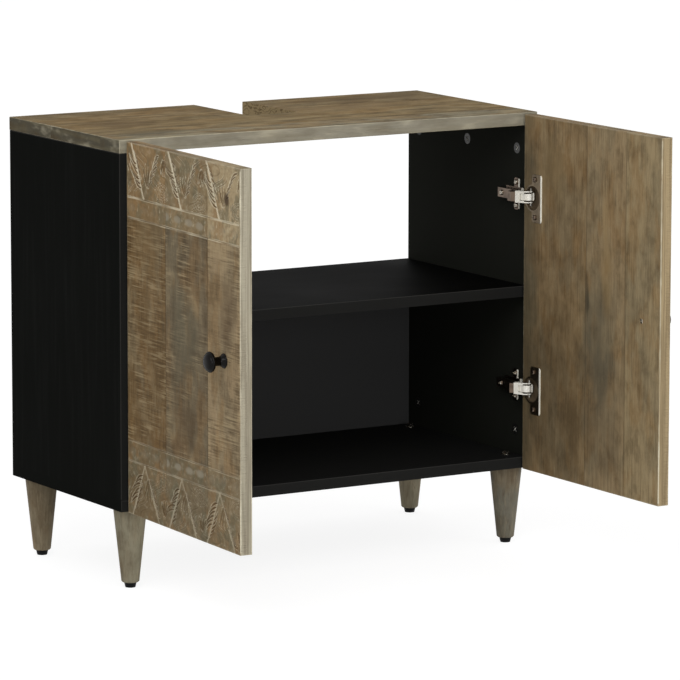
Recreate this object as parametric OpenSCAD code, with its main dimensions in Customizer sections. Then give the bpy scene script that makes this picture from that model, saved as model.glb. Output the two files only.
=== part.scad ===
// Sink base cabinet on four tapered legs: an open-backed carcass with a top notched for
// the drain trap, one fixed shelf and two overlay doors on concealed cup hinges.
// The front of the cabinet looks along -Y; lengths are in millimetres.

/* [Cabinet] */
// Width of the top and of the carcass
body_w = 650; // [560:5:900]
// Height from the floor to the upper face of the top
body_h = 600; // [540:5:800]
// Depth of the top, front edge to back edge
body_d = 310; // [290:5:420]
// Thickness of the top panel
top_t = 18; // [16:1:30]
// How far the top stands out behind the carcass
top_overhang = 2; // [0.5:0.5:15]
// Thickness of the side panels, shelf and bottom panel
board_t = 15; // [15:1:22]
// Radius of the eased edges on the top panel
arris_r = 1.5; // [0.5:0.5:3]

/* [Drain notch] */
// Width of the notch in the back edge of the top
notch_w = 78; // [50:2:160]
// Depth of the notch, from the back edge of the top
notch_d = 150; // [80:5:190]
// Radius of the inner corners of the notch
notch_r = 6; // [3:1:20]

/* [Shelf and back] */
// Height of the shelf's upper face above the floor
shelf_z = 361; // [300:5:400]
// Thickness of the back panel
back_t = 3; // [2:1:6]
// How far the back panel reaches into its rebates
rebate = 6; // [4:1:8]

/* [Legs] */
// Height of the underside of the bottom panel
leg_h = 108; // [80:2:150]
// Radius of a leg where it meets the bottom panel
leg_top_r = 22.5; // [16:0.5:26]
// Radius of a leg at its foot
leg_foot_r = 12; // [9.5:0.5:15]
// Distance of a leg's axis from the side, front and back of the carcass
leg_inset = 29; // [28:1:60]
// Height of the plastic glide under each leg
glide_h = 7; // [4:1:10]
// Radius of a glide where it meets the leg
glide_r = 8.5; // [6:0.5:9]

/* [Doors] */
// Thickness of a door
door_t = 17; // [16:1:22]
// How far a closed door's edge stays inside the carcass side
door_reveal = 1; // [0.5:0.5:3]
// Gap between the two closed doors
door_split = 4; // [3:0.5:8]
// Gap between a closed door and the carcass
door_gap = 2; // [2:0.5:4]
// How far the doors' upper edge lies below the upper face of the top
door_drop = 2; // [1:1:15]
// Radius of the eased vertical edges of a door
door_edge_r = 1.5; // [0.5:0.5:3]
// Opening angle of the left door as stored
left_open = 92.8; // [80:0.1:98]
// Opening angle of the right door as stored
right_open = 90.7; // [80:0.1:98]

/* [Carved bands] */
// Height of the carved band at each end of a door
carved_h = 71; // [40:1:90]
// Height of the border between the two scored lines
border_h = 27; // [12:1:40]
// Depth of the scored lines and strokes
score_d = 0.8; // [0.4:0.2:2]
// Width of the scored lines and strokes
score_w = 2; // [1:0.5:4]
// Number of V-shaped strokes in a carved band
stroke_n = 3; // [1:1:5]
// Distance of the first stroke from the door's hinged edge
stroke_first = 14; // [6:1:20]
// How far a V's first arm leans on its way to the scored line
stroke_run = 36; // [10:1:50]
// Width of a V at the door's end
stroke_open = 78; // [40:1:90]

/* [Knob] */
// Radius of the knob's head
knob_r = 13.5; // [10:0.5:20]
// Distance that the knob stands out from the door
knob_len = 27; // [20:1:40]
// Radius of the knob's neck
knob_neck_r = 5.7; // [4:0.1:8]
// Radius of the knob's base
knob_base_r = 9.5; // [7:0.5:14]
// Distance of the knob's axis from the door's free edge
knob_inset = 44; // [20:1:60]
// Height of the knob's axis above the floor
knob_z = 350; // [300:5:400]

/* [Hinges] */
// Distance of a hinge's middle from the end of its door
hinge_end = 112.5; // [108:0.5:125]
// Radius of the hinge cup
cup_r = 17.5; // [17.5:0.5:20]
// Depth of the hinge cup
cup_depth = 12.8; // [12.8:0.1:13.5]
// Distance of the cup's middle from the door's edge
cup_inset = 22.5; // [21.5:0.5:24]
// Wall thickness of the cup
cup_wall = 0.8; // [0.6:0.1:1.2]
// Height of the cup's flange
flange_len = 66; // [62:1:72]
// Width of the cup's flange
flange_w = 23; // [20:1:26]
// Distance between a flange's two screws
flange_pitch = 52; // [48:1:56]
// Distance between the two screws of a mounting plate
plate_pitch = 32; // [28:1:36]
// Distance of the mounting plate's screws behind the carcass front
plate_setback = 25; // [24:1:40]
// Width of the hinge arm
arm_w = 13; // [12:0.5:15]

/* [Fittings] */
// Radius of a cam lock
cam_r = 7.5; // [6:0.5:9]
// Distance of a cam lock's middle from the end of the side panel
cam_end = 34; // [24:1:40]
// Radius of a wooden dowel
dowel_r = 4; // [3:0.5:4.5]
// Length of a wooden dowel
dowel_len = 24; // [20:1:30]
// Radius of a leg bolt's shank
leg_bolt_r = 3; // [2.5:0.5:4]
// Radius of a small wood screw's shank
screw_r = 1.75; // [1.5:0.05:2]

/* [Hidden] */
$fn = 64;

// Overshoot that carries a cut past the face it starts from
past = 1;
// Clearance of a pin, dowel, bolt or screw in its hole
fit = 0.05;
// Clearance between a pin and the part that turns on it
run = 0.05;

// Derived sizes of the carcass, with depths counted back from its front plane
carcass_d = body_d - top_overhang;
top_z = body_h - top_t;
floor_z = leg_h + board_t;
inner_w = body_w - 2 * board_t;
shelf_low = shelf_z - board_t;
side_x = body_w / 2;

// Derived sizes of the doors, with heights above the floor
door_w = side_x - door_reveal - door_split / 2;
door_low = leg_h;
door_top = body_h - door_drop;
door_h = door_top - door_low;
hinge_heights = [door_low + hinge_end, door_top - hinge_end];
ends = ["lower", "upper"];

// Hinge linkage, seen from above: x runs inboard from the outer face of the side and y
// runs back from the carcass front. The outer link turns on arm_pin and carries the door
// on cup_pin; the inner link turns on rear_pin and its free end meets guide_pin.
arm_pin = [board_t + 15, 0];
rear_pin = arm_pin + [6, 5];
cup_pin = [cup_inset - 11.2, 3.6];
guide_pin = [cup_inset - 11.8, 8];
pin_r = 1.5;
stub_r = 1.2;
// Degrees that the outer link turns back for each degree that the door opens
link_gain = 0.464;
// Opening angle at which the inner link's end stands exactly on its place in the cup
true_open = 92;

function spin(v, a) = [v.x * cos(a) - v.y * sin(a), v.x * sin(a) + v.y * cos(a)];
function length2(v) = sqrt(v.x * v.x + v.y * v.y);
function heading(v) = atan2(v.y, v.x);
// A point w along the door from its hinged edge and d deep behind its inner face, door closed
function closed_pt(p) = [door_reveal + p.x, -door_gap - p.y];
// Where the cup's pin stands when the door is open by a
function cup_pin_at(a) = arm_pin + spin(closed_pt(cup_pin) - arm_pin, link_gain * a);
// Where any point of the door stands when the door is open by a
function door_pt(p, a) = cup_pin_at(a) + spin(closed_pt(p) - closed_pt(cup_pin), -a);

outer_len = length2(closed_pt(cup_pin) - arm_pin);
inner_len = length2(closed_pt(guide_pin) - rear_pin);
inner_shut = heading(closed_pt(guide_pin) - rear_pin);
inner_turned = heading(door_pt(guide_pin, true_open) - rear_pin);
inner_gain = (inner_turned - inner_shut + (inner_turned < inner_shut ? 360 : 0)) / true_open;

// The open doors reach this far in front of the carcass, which centres the cabinet in y
reach = max([for (a = [left_open, right_open]) for (d = [0, door_t]) -door_pt([door_w, d], a).y]);
front_y = (reach - body_d) / 2;

// Joinery of the carcass, counted back from its front plane
edge_x = side_x - board_t / 2;
leg_x = side_x - leg_inset;
leg_rows = [leg_inset, carcass_d - leg_inset];
cam_inset = 28;
cam_depth = board_t - 2.5;
dowel_rows = [carcass_d * 0.28, carcass_d * 0.72];
shelf_dowel_bite = 9;
bolt_r = 2.5;
bolt_head_r = 3.4;
bolt_bite = 11;
bolt_bore_r = 3.7;
// Cam and bolt places: [x sign, y, +1 at the top or -1 at the bottom]
cam_places = concat(
    [for (s = [-1, 1]) for (y = [cam_inset, carcass_d / 2, carcass_d - cam_inset]) [s, y, 1]],
    [for (s = [-1, 1]) for (y = [cam_inset, carcass_d - cam_inset]) [s, y, -1]]
);
function joint_z(e) = e > 0 ? top_z : floor_z;
function cam_z(e) = joint_z(e) - e * cam_end;

// Small fixings: back panel screws, leg bolts and the nails of the glides
back_screw_r = 1.2;
back_screw_len = 14;
back_screw_n = 4;
back_screw_z = [for (i = [0.5 : back_screw_n]) floor_z + (shelf_low - floor_z) * i / back_screw_n];
back_head = [2.6, 1.8, 1.2];
washer_t = 1.2;
bolt_head_h = 4;
leg_bolt_bite = 36;
nail_r = 1.5;
nail_len = 16;
foot_chamfer = 1.5;

// Pan-headed screws of the hinges
head_r = 3.6;
head_h = 2.2;

// Mounting plate, with depths counted back from the carcass front
plate_t = 2.5;
plate_half = 9;
plate_reach = [plate_setback - 15, plate_setback + 25];
plate_screw_len = 11;
wing = [10, 44];
wing_corner = 3;
saddle_reach = [plate_setback - 9, plate_setback + 28];

// Hinge arm, with heights counted from the inner face of the side
arm_t = 1.4;
arm_h = 12.5;
arm_skirt = 5;
arm_neck = 20;
arm_throat = [11, 8];
arm_bend = plate_setback - 5;
arm_nose = 3.2;
arm_tail = plate_setback + 31;
arm_screw_rows = [plate_setback, arm_tail - 10];
arm_screw_r = 2;
arm_screw_len = 7;
saddle_w = arm_w - 3.2;

// Links: the outer one runs outside the arm, the inner one inside it
link_t = 1.2;
link_gap = 0.25;
ear_in = arm_w / 2 + link_gap;
rivet_end = 0.2;
inner_w2 = arm_w - 2 * arm_t - 1.2;
strap_r = 0.8;

// Hinge cup and its screws, and half the cup's height at the far side of its pin
flange_t = 1.2;
flange_screw_w = cup_inset + 5.5;
flange_corner = 4;
cup_screw_len = 12;
cup_floor_gap = 0.4;
cup_reach = sqrt(pow(cup_r, 2) - pow(cup_inset - cup_pin.x + pin_r, 2));

// Knob screw, its head sunk below the inner face of the door
knob_head_r = head_r + 0.4;
knob_sink = head_h + 0.6;
knob_bore = 9;
knob_screw_r = 2;

function open_angle(side) = side == "left" ? left_open : right_open;

// Corner of the carcass front on one side, with x running inboard
module on_side(side) {
    if (side == "right") mirror([1, 0, 0]) translate([-side_x, front_y, 0]) children();
    else translate([-side_x, front_y, 0]) children();
}

// A door's own frame: x from its hinged edge, y = 0 on its inner face, its outer face at -door_t
module on_door(side) {
    a = open_angle(side);
    pin = cup_pin_at(a);
    on_side(side) translate([pin.x, pin.y, 0]) rotate([0, 0, -a])
        translate([-cup_pin.x, cup_pin.y, 0]) children();
}

// An outer link's own frame: x from the arm's pin towards the cup's pin
module on_outer_link(side, z) {
    turn = heading(closed_pt(cup_pin) - arm_pin) + link_gain * open_angle(side);
    on_side(side) translate([arm_pin.x, arm_pin.y, z]) rotate([0, 0, turn]) children();
}

// An inner link's own frame: x from the rear pin towards its free end
module on_inner_link(side, z) {
    turn = inner_shut + inner_gain * open_angle(side);
    on_side(side) translate([rear_pin.x, rear_pin.y, z]) rotate([0, 0, turn]) children();
}

// Box from one corner to the opposite one
module block(low, high) translate(low) cube(high - low);

// Rectangle with rounded corners, its first corner at the origin
module soft_rect(size, r) {
    translate([r, 0]) square([size.x - 2 * r, size.y]);
    translate([0, r]) square([size.x, size.y - 2 * r]);
    for (x = [r, size.x - r]) for (y = [r, size.y - r]) translate([x, y]) circle(r);
}

// Solid of a side outline drawn in y and z, running along x from x0 to x1
module along_x(x0, x1) translate([x0, 0, 0]) rotate([90, 0, 90]) linear_extrude(x1 - x0) children();

// Solid of a front outline drawn in x and z, running along y from y0 to y1
module along_y(y0, y1) translate([0, y1, 0]) rotate([90, 0, 0]) linear_extrude(y1 - y0) children();

module at_front() translate([0, front_y, 0]) children();

// Top: planks glued to one board, eased all round, with the drain notch in its back edge
module top_panel() {
    color([0.55, 0.50, 0.42]) at_front() difference() {
        intersection() {
            translate([-side_x, 0, top_z]) linear_extrude(top_t) soft_rect([body_w, body_d], arris_r);
            along_x(-side_x, side_x) translate([0, top_z]) soft_rect([body_d, top_t], arris_r);
            along_y(0, body_d) translate([-side_x, top_z]) soft_rect([body_w, top_t], arris_r);
        }
        translate([-notch_w / 2, body_d - notch_d, top_z - past]) linear_extrude(top_t + 2 * past)
            soft_rect([notch_w, notch_d + notch_r + past], notch_r);
        for (p = cam_places) if (p[2] > 0) translate([p[0] * edge_x, p[1], top_z - past])
            cylinder(h = bolt_bite + past, r = bolt_r + fit);
        for (s = [-1, 1]) for (y = dowel_rows) translate([s * edge_x, y, top_z - past])
            cylinder(h = dowel_len / 2 + past, r = dowel_r + fit);
    }
}

// Side panel, with cam bores in its inner face, bores in both ends and a stopped rebate
module side_panel(side) {
    color([0.07, 0.07, 0.07]) on_side(side) difference() {
        block([0, 0, floor_z], [board_t, carcass_d, top_z]);
        block([board_t - rebate, carcass_d - back_t, floor_z - past],
              [board_t + past, carcass_d + past, shelf_low + rebate]);
        for (p = cam_places) if (p[0] < 0) {
            translate([board_t - cam_depth, p[1], cam_z(p[2])]) rotate([0, 90, 0])
                cylinder(h = cam_depth + past, r = cam_r + fit);
            translate([board_t / 2, p[1], p[2] > 0 ? cam_z(1) : floor_z - past])
                cylinder(h = cam_end + past, r = bolt_bore_r);
        }
        for (y = dowel_rows) {
            translate([board_t / 2, y, top_z - dowel_len / 2])
                cylinder(h = dowel_len, r = dowel_r + fit);
            translate([board_t / 2, y, floor_z - past])
                cylinder(h = dowel_len / 2 + past, r = dowel_r + fit);
            translate([board_t - shelf_dowel_bite, y, shelf_low + board_t / 2]) rotate([0, 90, 0])
                cylinder(h = dowel_len, r = dowel_r + fit);
        }
        for (h = hinge_heights) for (e = [-1, 1])
            translate([board_t - plate_screw_len, plate_setback, h + e * plate_pitch / 2])
                rotate([0, 90, 0]) cylinder(h = plate_screw_len + past, r = screw_r + fit);
        for (z = back_screw_z) translate([board_t - rebate / 2, carcass_d - back_t - back_screw_len, z])
            rotate([-90, 0, 0]) cylinder(h = back_screw_len + past, r = back_screw_r + fit);
    }
}

// Bottom panel, on the legs and under the sides
module bottom_panel() {
    color([0.08, 0.08, 0.08]) at_front() difference() {
        block([-side_x, 0, leg_h], [side_x, carcass_d, floor_z]);
        block([-inner_w / 2 - rebate, carcass_d - back_t, floor_z - rebate],
              [inner_w / 2 + rebate, carcass_d + past, floor_z + past]);
        for (p = cam_places) if (p[2] < 0) translate([p[0] * edge_x, p[1], floor_z - bolt_bite])
            cylinder(h = bolt_bite + past, r = bolt_r + fit);
        for (s = [-1, 1]) for (y = dowel_rows) translate([s * edge_x, y, floor_z - dowel_len / 2])
            cylinder(h = dowel_len / 2 + past, r = dowel_r + fit);
        for (s = [-1, 1]) for (y = leg_rows) translate([s * leg_x, y, leg_h - past])
            cylinder(h = board_t + 2 * past, r = leg_bolt_r + fit);
    }
}

// Shelf on four dowels, rebated below its back edge for the back panel
module shelf() {
    color([0.10, 0.10, 0.10]) at_front() difference() {
        block([-inner_w / 2, 0, shelf_low], [inner_w / 2, carcass_d, shelf_z]);
        block([-inner_w / 2 - past, carcass_d - back_t, shelf_low - past],
              [inner_w / 2 + past, carcass_d + past, shelf_low + rebate]);
        for (s = [-1, 1]) for (y = dowel_rows)
            translate([s * (inner_w / 2 - (dowel_len - shelf_dowel_bite) / 2 + past / 2), y,
                       shelf_low + board_t / 2])
                rotate([0, 90, 0])
                    cylinder(h = dowel_len - shelf_dowel_bite + past, r = dowel_r + fit, center = true);
    }
}

// Thin back panel behind the lower compartment only
module back_panel() {
    color([0.13, 0.13, 0.13]) at_front() difference() {
        block([-inner_w / 2 - rebate, carcass_d - back_t, floor_z - rebate],
              [inner_w / 2 + rebate, carcass_d, shelf_low + rebate]);
        for (s = [-1, 1]) for (z = back_screw_z)
            translate([s * (inner_w / 2 + rebate / 2), carcass_d - back_t - past, z])
                rotate([-90, 0, 0]) cylinder(h = back_t + 2 * past, r = back_screw_r + fit);
    }
}

// Round-headed screws that hold the back panel in its rebates
module back_panel_screws() {
    color([0.30, 0.30, 0.30]) at_front() for (s = [-1, 1]) for (z = back_screw_z)
        translate([s * (inner_w / 2 + rebate / 2), carcass_d, z]) rotate([-90, 0, 0]) {
            cylinder(h = back_head[2], r1 = back_head[0], r2 = back_head[1]);
            translate([0, 0, -back_t - back_screw_len + past])
                cylinder(h = back_t + back_screw_len - past, r = back_screw_r);
        }
}

// Turned leg, tapering to its foot, bored for its bolt and for the glide's nail
module leg(sx, y) {
    color([0.42, 0.37, 0.30]) at_front() translate([sx * leg_x, y, 0]) difference() {
        union() {
            translate([0, 0, glide_h + foot_chamfer])
                cylinder(h = leg_h - glide_h - foot_chamfer, r1 = leg_foot_r, r2 = leg_top_r);
            translate([0, 0, glide_h])
                cylinder(h = foot_chamfer, r1 = leg_foot_r - foot_chamfer, r2 = leg_foot_r);
        }
        translate([0, 0, leg_h - leg_bolt_bite]) cylinder(h = leg_bolt_bite + past, r = leg_bolt_r + fit);
        translate([0, 0, glide_h - past]) cylinder(h = nail_len + past, r = nail_r + fit);
    }
}

// Nailed plastic glides, a little narrower at the floor
module foot_glides() {
    color([0.03, 0.03, 0.03]) at_front() for (s = [-1, 1]) for (y = leg_rows)
        translate([s * leg_x, y, 0]) {
            cylinder(h = glide_h, r1 = glide_r * 0.8, r2 = glide_r);
            translate([0, 0, glide_h]) cylinder(h = nail_len - past, r = nail_r);
        }
}

// Leg bolts: shank through the bottom panel into the leg, with washer and six-sided head
module leg_bolts() {
    color([0.25, 0.25, 0.25]) at_front() for (s = [-1, 1]) for (y = leg_rows)
        translate([s * leg_x, y, floor_z]) {
            cylinder(h = washer_t, r = leg_bolt_r * 2.3);
            translate([0, 0, washer_t]) cylinder(h = bolt_head_h, r = leg_bolt_r * 1.8, $fn = 6);
            translate([0, 0, past - board_t - leg_bolt_bite])
                cylinder(h = board_t + leg_bolt_bite - past, r = leg_bolt_r);
        }
}

// Cam locks: discs in the inner faces of the sides, slotted for the bolt's head
module cam_locks() {
    color([0.55, 0.55, 0.53]) for (p = cam_places) on_side(p[0] < 0 ? "left" : "right")
        translate([0, p[1], cam_z(p[2])]) difference() {
            translate([board_t - cam_depth, 0, 0]) rotate([0, 90, 0]) cylinder(h = cam_depth, r = cam_r);
            translate([board_t / 2, 0, p[2] > 0 ? -bolt_bore_r : -cam_r - past])
                cylinder(h = cam_r + bolt_bore_r + past, r = bolt_bore_r);
            for (turn = [45, 135]) translate([board_t, 0, 0]) rotate([turn, 0, 0])
                cube([2, cam_r * 1.2, 1.4], center = true);
        }
}

// Cam bolts: driven into the top or the bottom panel, with a round head inside the cam
module cam_bolts() {
    color([0.70, 0.70, 0.66]) at_front() for (p = cam_places)
        translate([p[0] * edge_x, p[1], joint_z(p[2])]) rotate([p[2] > 0 ? 0 : 180, 0, 0]) {
            translate([0, 0, -cam_end]) cylinder(h = cam_end + bolt_bite - past, r = bolt_r);
            translate([0, 0, -cam_end]) sphere(bolt_head_r);
        }
}

// Dowels between the sides and the top and bottom panels
module carcass_dowels() {
    color([0.75, 0.62, 0.42]) at_front() for (s = [-1, 1]) for (y = dowel_rows) for (z = [floor_z, top_z])
        translate([s * edge_x, y, z]) cylinder(h = dowel_len - past, r = dowel_r, center = true);
}

// Dowels that carry the shelf between the sides
module shelf_dowels() {
    color([0.75, 0.62, 0.42]) for (side = ["left", "right"]) on_side(side) for (y = dowel_rows)
        translate([board_t - shelf_dowel_bite + past / 2, y, shelf_low + board_t / 2]) rotate([0, 90, 0])
            cylinder(h = dowel_len - past, r = dowel_r);
}

// Cross-shaped mounting plate on the side panel, with the saddle that the arm straddles
module mounting_plate(side, h) {
    color([0.72, 0.71, 0.68]) on_side(side) translate([board_t, 0, h]) difference() {
        union() {
            block([0, plate_reach[0], -plate_half], [plate_t, plate_reach[1], plate_half]);
            rotate([90, 0, 90]) linear_extrude(plate_t)
                translate([plate_setback - wing.x / 2, -wing.y / 2]) soft_rect(wing, wing_corner);
            block([plate_t, saddle_reach[0], -saddle_w / 2], [arm_h - arm_t, saddle_reach[1], saddle_w / 2]);
        }
        for (e = [-1, 1]) translate([-past, plate_setback, e * plate_pitch / 2]) rotate([0, 90, 0])
            cylinder(h = plate_t + 2 * past, r = screw_r + fit);
        for (y = arm_screw_rows) translate([plate_t, y, 0]) rotate([0, 90, 0])
            cylinder(h = arm_h, r = arm_screw_r + fit);
    }
}

// Pan head with a cross recess, its seat at z = 0
module pan_head(r, h) {
    difference() {
        union() {
            cylinder(h = h * 0.5, r = r);
            translate([0, 0, h * 0.5]) cylinder(h = h * 0.5, r1 = r, r2 = r * 0.65);
        }
        for (turn = [0, 90]) translate([0, 0, h]) rotate([0, 0, turn])
            cube([r * 1.1, r * 0.25, h * 0.9], center = true);
    }
}

// Screws of the mounting plates, in the side panel
module plate_screws(side) {
    color([0.70, 0.69, 0.66]) on_side(side) for (h = hinge_heights) for (e = [-1, 1])
        translate([board_t + plate_t, plate_setback, h + e * plate_pitch / 2]) rotate([0, 90, 0]) {
            pan_head(head_r, head_h);
            translate([0, 0, past - plate_t - plate_screw_len])
                cylinder(h = plate_t + plate_screw_len - past, r = screw_r);
        }
}

// Crown of the hinge arm from above, from its nose over the crank to its tail
function arm_crown(t) = [
    [arm_pin.x + arm_nose - board_t, -arm_nose],
    [rear_pin.x + 4.4 - board_t - t, rear_pin.y - 1.5],
    [rear_pin.x + 4.4 - board_t - t, rear_pin.y + 7],
    [arm_h - t, arm_bend],
    [arm_h - t, arm_tail]
];

// Outline of the arm's side walls from above
function arm_wall() = concat(arm_crown(0), [
    [arm_skirt, arm_tail],
    [arm_skirt, arm_neck],
    arm_throat,
    [arm_pin.x - arm_nose - board_t, -arm_nose]
]);

// Outline of the space between the side walls, open towards the side panel
function arm_hollow() = concat(arm_crown(arm_t), [
    [arm_h - arm_t, arm_tail + past],
    [0, arm_tail + past],
    [0, -arm_nose - past],
    [arm_pin.x + arm_nose - board_t, -arm_nose - past]
]);

// Folded steel arm: a channel open towards the side, holding the pins in its nose
module hinge_arm(side, h) {
    color([0.66, 0.65, 0.62]) on_side(side) translate([board_t, 0, h]) difference() {
        translate([0, 0, -arm_w / 2]) linear_extrude(arm_w) polygon(arm_wall());
        translate([0, 0, -arm_w / 2 + arm_t]) linear_extrude(arm_w - 2 * arm_t) polygon(arm_hollow());
        for (p = [arm_pin, rear_pin]) translate([p.x - board_t, p.y, -arm_w])
            cylinder(h = 2 * arm_w, r = pin_r + fit);
        for (y = arm_screw_rows) translate([arm_h - arm_t - past, y, 0])
            rotate([0, 90, 0]) cylinder(h = arm_t + 2 * past, r = arm_screw_r + fit);
    }
}

// Fixing and depth screws of the arms, in the saddles
module arm_screws(side) {
    color([0.78, 0.77, 0.74]) on_side(side) for (h = hinge_heights) for (y = arm_screw_rows)
        translate([board_t + arm_h, y, h]) rotate([0, 90, 0]) {
            pan_head(head_r, head_h);
            translate([0, 0, -arm_screw_len]) cylinder(h = arm_screw_len, r = arm_screw_r);
        }
}

// Arm pins: two stub rivets for the outer link and one through pin for the inner link
module arm_pins(side) {
    color([0.60, 0.60, 0.58]) on_side(side) for (h = hinge_heights) {
        for (e = [0, 1]) translate([arm_pin.x, arm_pin.y, h]) mirror([0, 0, e]) {
            translate([0, 0, arm_w / 2 - arm_t])
                cylinder(h = arm_t + link_gap + link_t + rivet_end, r = pin_r);
        }
        translate([rear_pin.x, rear_pin.y, h]) cylinder(h = arm_w, r = pin_r, center = true);
    }
}

// Outer link: a channel with two ears that hooks round the cup's rim
module outer_link(side, h) {
    ear = [[-2.2, -3.5], [-2, -7], [11.5, -7], [17, -4.8], [outer_len + 1.6, -1.5], [outer_len, 2.1],
           [16.6, -0.8], [13.5, -3.7], [7, -4], [4, 0], [0, 3]];
    web = [-2, 11.5];
    web_y = 7 - link_t;
    window = [5, 13];
    eyes = [3, 2.4];
    color([0.85, 0.84, 0.80]) on_outer_link(side, h) difference() {
        union() {
            for (e = [0, 1]) mirror([0, 0, e]) translate([0, 0, ear_in]) linear_extrude(link_t) {
                mirror([0, 1]) polygon(ear);
                circle(eyes[0]);
                translate([outer_len, 0]) circle(eyes[1]);
            }
            block([web[0], web_y, -ear_in], [web[1], web_y + link_t, ear_in]);
        }
        block([window[0], 0, -inner_w2 / 2 - 0.5], [window[1], web_y + 2 * link_t, inner_w2 / 2 + 0.5]);
        for (x = [0, outer_len]) translate([x, 0, -arm_w]) cylinder(h = 2 * arm_w, r = pin_r + run);
    }
}

// Inner link: a bent strap on the rear pin, with a short cross pin at its free end
module inner_link(side, h) {
    bend = [[0, 0], [9, 2.2], [15.5, 5], [18.8, 6.7], [22, 7.2], [26, 5], [inner_len, 0]];
    eyes = [2.6, 1.6];
    color([0.62, 0.61, 0.58]) on_inner_link(side, h) difference() {
        union() {
            translate([0, 0, -inner_w2 / 2]) linear_extrude(inner_w2) {
                strip(bend, strap_r);
                circle(eyes[0]);
                translate([inner_len, 0]) circle(eyes[1]);
            }
            translate([inner_len, 0, 0]) cylinder(h = inner_w2 + 2, r = stub_r, center = true);
        }
        translate([0, 0, -arm_w]) cylinder(h = 2 * arm_w, r = pin_r + run);
    }
}

// One edge of a strip of half-width r along a bent path, mitred at its corners
function strip_edge(path, r) = [
    for (i = [0 : len(path) - 1])
        let (next = heading(path[min(i + 1, len(path) - 1)] - path[min(i, len(path) - 2)]),
             last = heading(path[max(i, 1)] - path[max(i - 1, 0)]))
            path[i] + r / cos((next - last) / 2) * [-sin((next + last) / 2), cos((next + last) / 2)]
];

// Flat strip of half-width r along a bent path
module strip(path, r) {
    back = strip_edge(path, -r);
    polygon(concat(strip_edge(path, r), [for (i = [len(back) - 1 : -1 : 0]) back[i]]));
}

// Straight stroke between two points
module stroke(start, stop) {
    translate(start) rotate(heading(stop - start)) translate([0, -score_w / 2])
        square([length2(stop - start), score_w]);
}

// Scored lines and V-shaped strokes of one carved band, drawn up from the door's end
module band_cuts() {
    for (z = [carved_h, carved_h + border_h])
        block([-past, -door_t - past, z - score_w / 2], [door_w + past, -door_t + score_d, z + score_w / 2]);
    along_y(-door_t - past, -door_t + score_d) for (i = [0 : stroke_n - 1]) {
        x = stroke_first + i * door_w / stroke_n;
        for (end = [x, x + stroke_open]) stroke([end, score_w], [x + stroke_run, carved_h]);
    }
}

// Door leaf: glued boards with eased edges, carved bands outside, cup bores inside
module door(side) {
    color([0.52, 0.45, 0.35]) on_door(side) difference() {
        translate([0, -door_t, door_low]) linear_extrude(door_h) soft_rect([door_w, door_t], door_edge_r);
        translate([0, 0, door_low]) band_cuts();
        translate([0, 0, door_top]) mirror([0, 0, 1]) band_cuts();
        for (h = hinge_heights) {
            translate([cup_inset, -cup_depth - cup_floor_gap, h]) rotate([-90, 0, 0])
                cylinder(h = cup_depth + cup_floor_gap + past, r = cup_r + fit);
            for (e = [-1, 1]) translate([flange_screw_w, -cup_screw_len, h + e * flange_pitch / 2])
                rotate([-90, 0, 0]) cylinder(h = cup_screw_len + past, r = screw_r + fit);
        }
        translate([door_w - knob_inset, -door_t - past, knob_z]) rotate([-90, 0, 0])
            cylinder(h = door_t + 2 * past, r = knob_screw_r + fit);
        translate([door_w - knob_inset, -knob_sink, knob_z]) rotate([-90, 0, 0])
            cylinder(h = knob_sink + past, r = knob_head_r + fit);
    }
}

// Hinge cup: a pressed steel bowl with a rim and a flange for two screws
module hinge_cup(side, h) {
    color([0.74, 0.73, 0.70]) on_door(side) translate([cup_inset, 0, h]) difference() {
        union() {
            rotate([90, 0, 0]) cylinder(h = cup_depth, r = cup_r);
            rotate([-90, 0, 0]) cylinder(h = flange_t, r = cup_r + 1.5);
            rotate([90, 0, 0]) translate([-2, -flange_len / 2, -flange_t]) linear_extrude(flange_t)
                soft_rect([flange_w, flange_len], flange_corner);
        }
        translate([0, flange_t + past, 0]) rotate([90, 0, 0])
            cylinder(h = cup_depth + flange_t + past - cup_wall, r = cup_r - cup_wall);
        for (e = [-1, 1]) translate([flange_screw_w - cup_inset, -past, e * flange_pitch / 2])
            rotate([-90, 0, 0]) cylinder(h = flange_t + 2 * past, r = screw_r + fit);
        translate([cup_pin.x - cup_inset, -cup_pin.y, -cup_r]) cylinder(h = 2 * cup_r, r = pin_r + fit);
    }
}

// Cup pins: two stub pins a hinge, from the cup's wall through the outer link's ears
module cup_pins(side) {
    color([0.60, 0.60, 0.58]) on_door(side) for (h = hinge_heights) for (e = [0, 1])
        translate([cup_pin.x, -cup_pin.y, h]) mirror([0, 0, e])
            translate([0, 0, ear_in - 0.2]) cylinder(h = cup_reach - ear_in + 0.2, r = pin_r);
}

// Screws of the hinge cups
module cup_screws(side) {
    color([0.72, 0.71, 0.68]) on_door(side) for (h = hinge_heights) for (e = [-1, 1])
        translate([flange_screw_w, flange_t, h + e * flange_pitch / 2]) rotate([-90, 0, 0]) {
            pan_head(head_r, head_h);
            translate([0, 0, past - flange_t - cup_screw_len])
                cylinder(h = flange_t + cup_screw_len - past, r = screw_r);
        }
}

// Turned knob: flared base, slim neck and a low domed head
module knob(side) {
    color([0.05, 0.045, 0.04]) on_door(side) translate([door_w - knob_inset, -door_t, knob_z])
        rotate([90, 0, 0]) difference() {
            rotate_extrude() polygon([
                [0, 0], [knob_base_r, 0], [knob_base_r, 1.6], [knob_neck_r + 1.6, 4.5], [knob_neck_r, 8],
                [knob_neck_r, knob_len * 0.5], [knob_neck_r + 2, knob_len * 0.6],
                [knob_r - 0.8, knob_len * 0.68], [knob_r, knob_len * 0.74], [knob_r, knob_len * 0.8],
                [knob_r - 1.6, knob_len * 0.89], [knob_r * 0.6, knob_len * 0.97], [0, knob_len]
            ]);
            translate([0, 0, -past]) cylinder(h = knob_bore + past, r = knob_screw_r + fit);
        }
}

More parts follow.
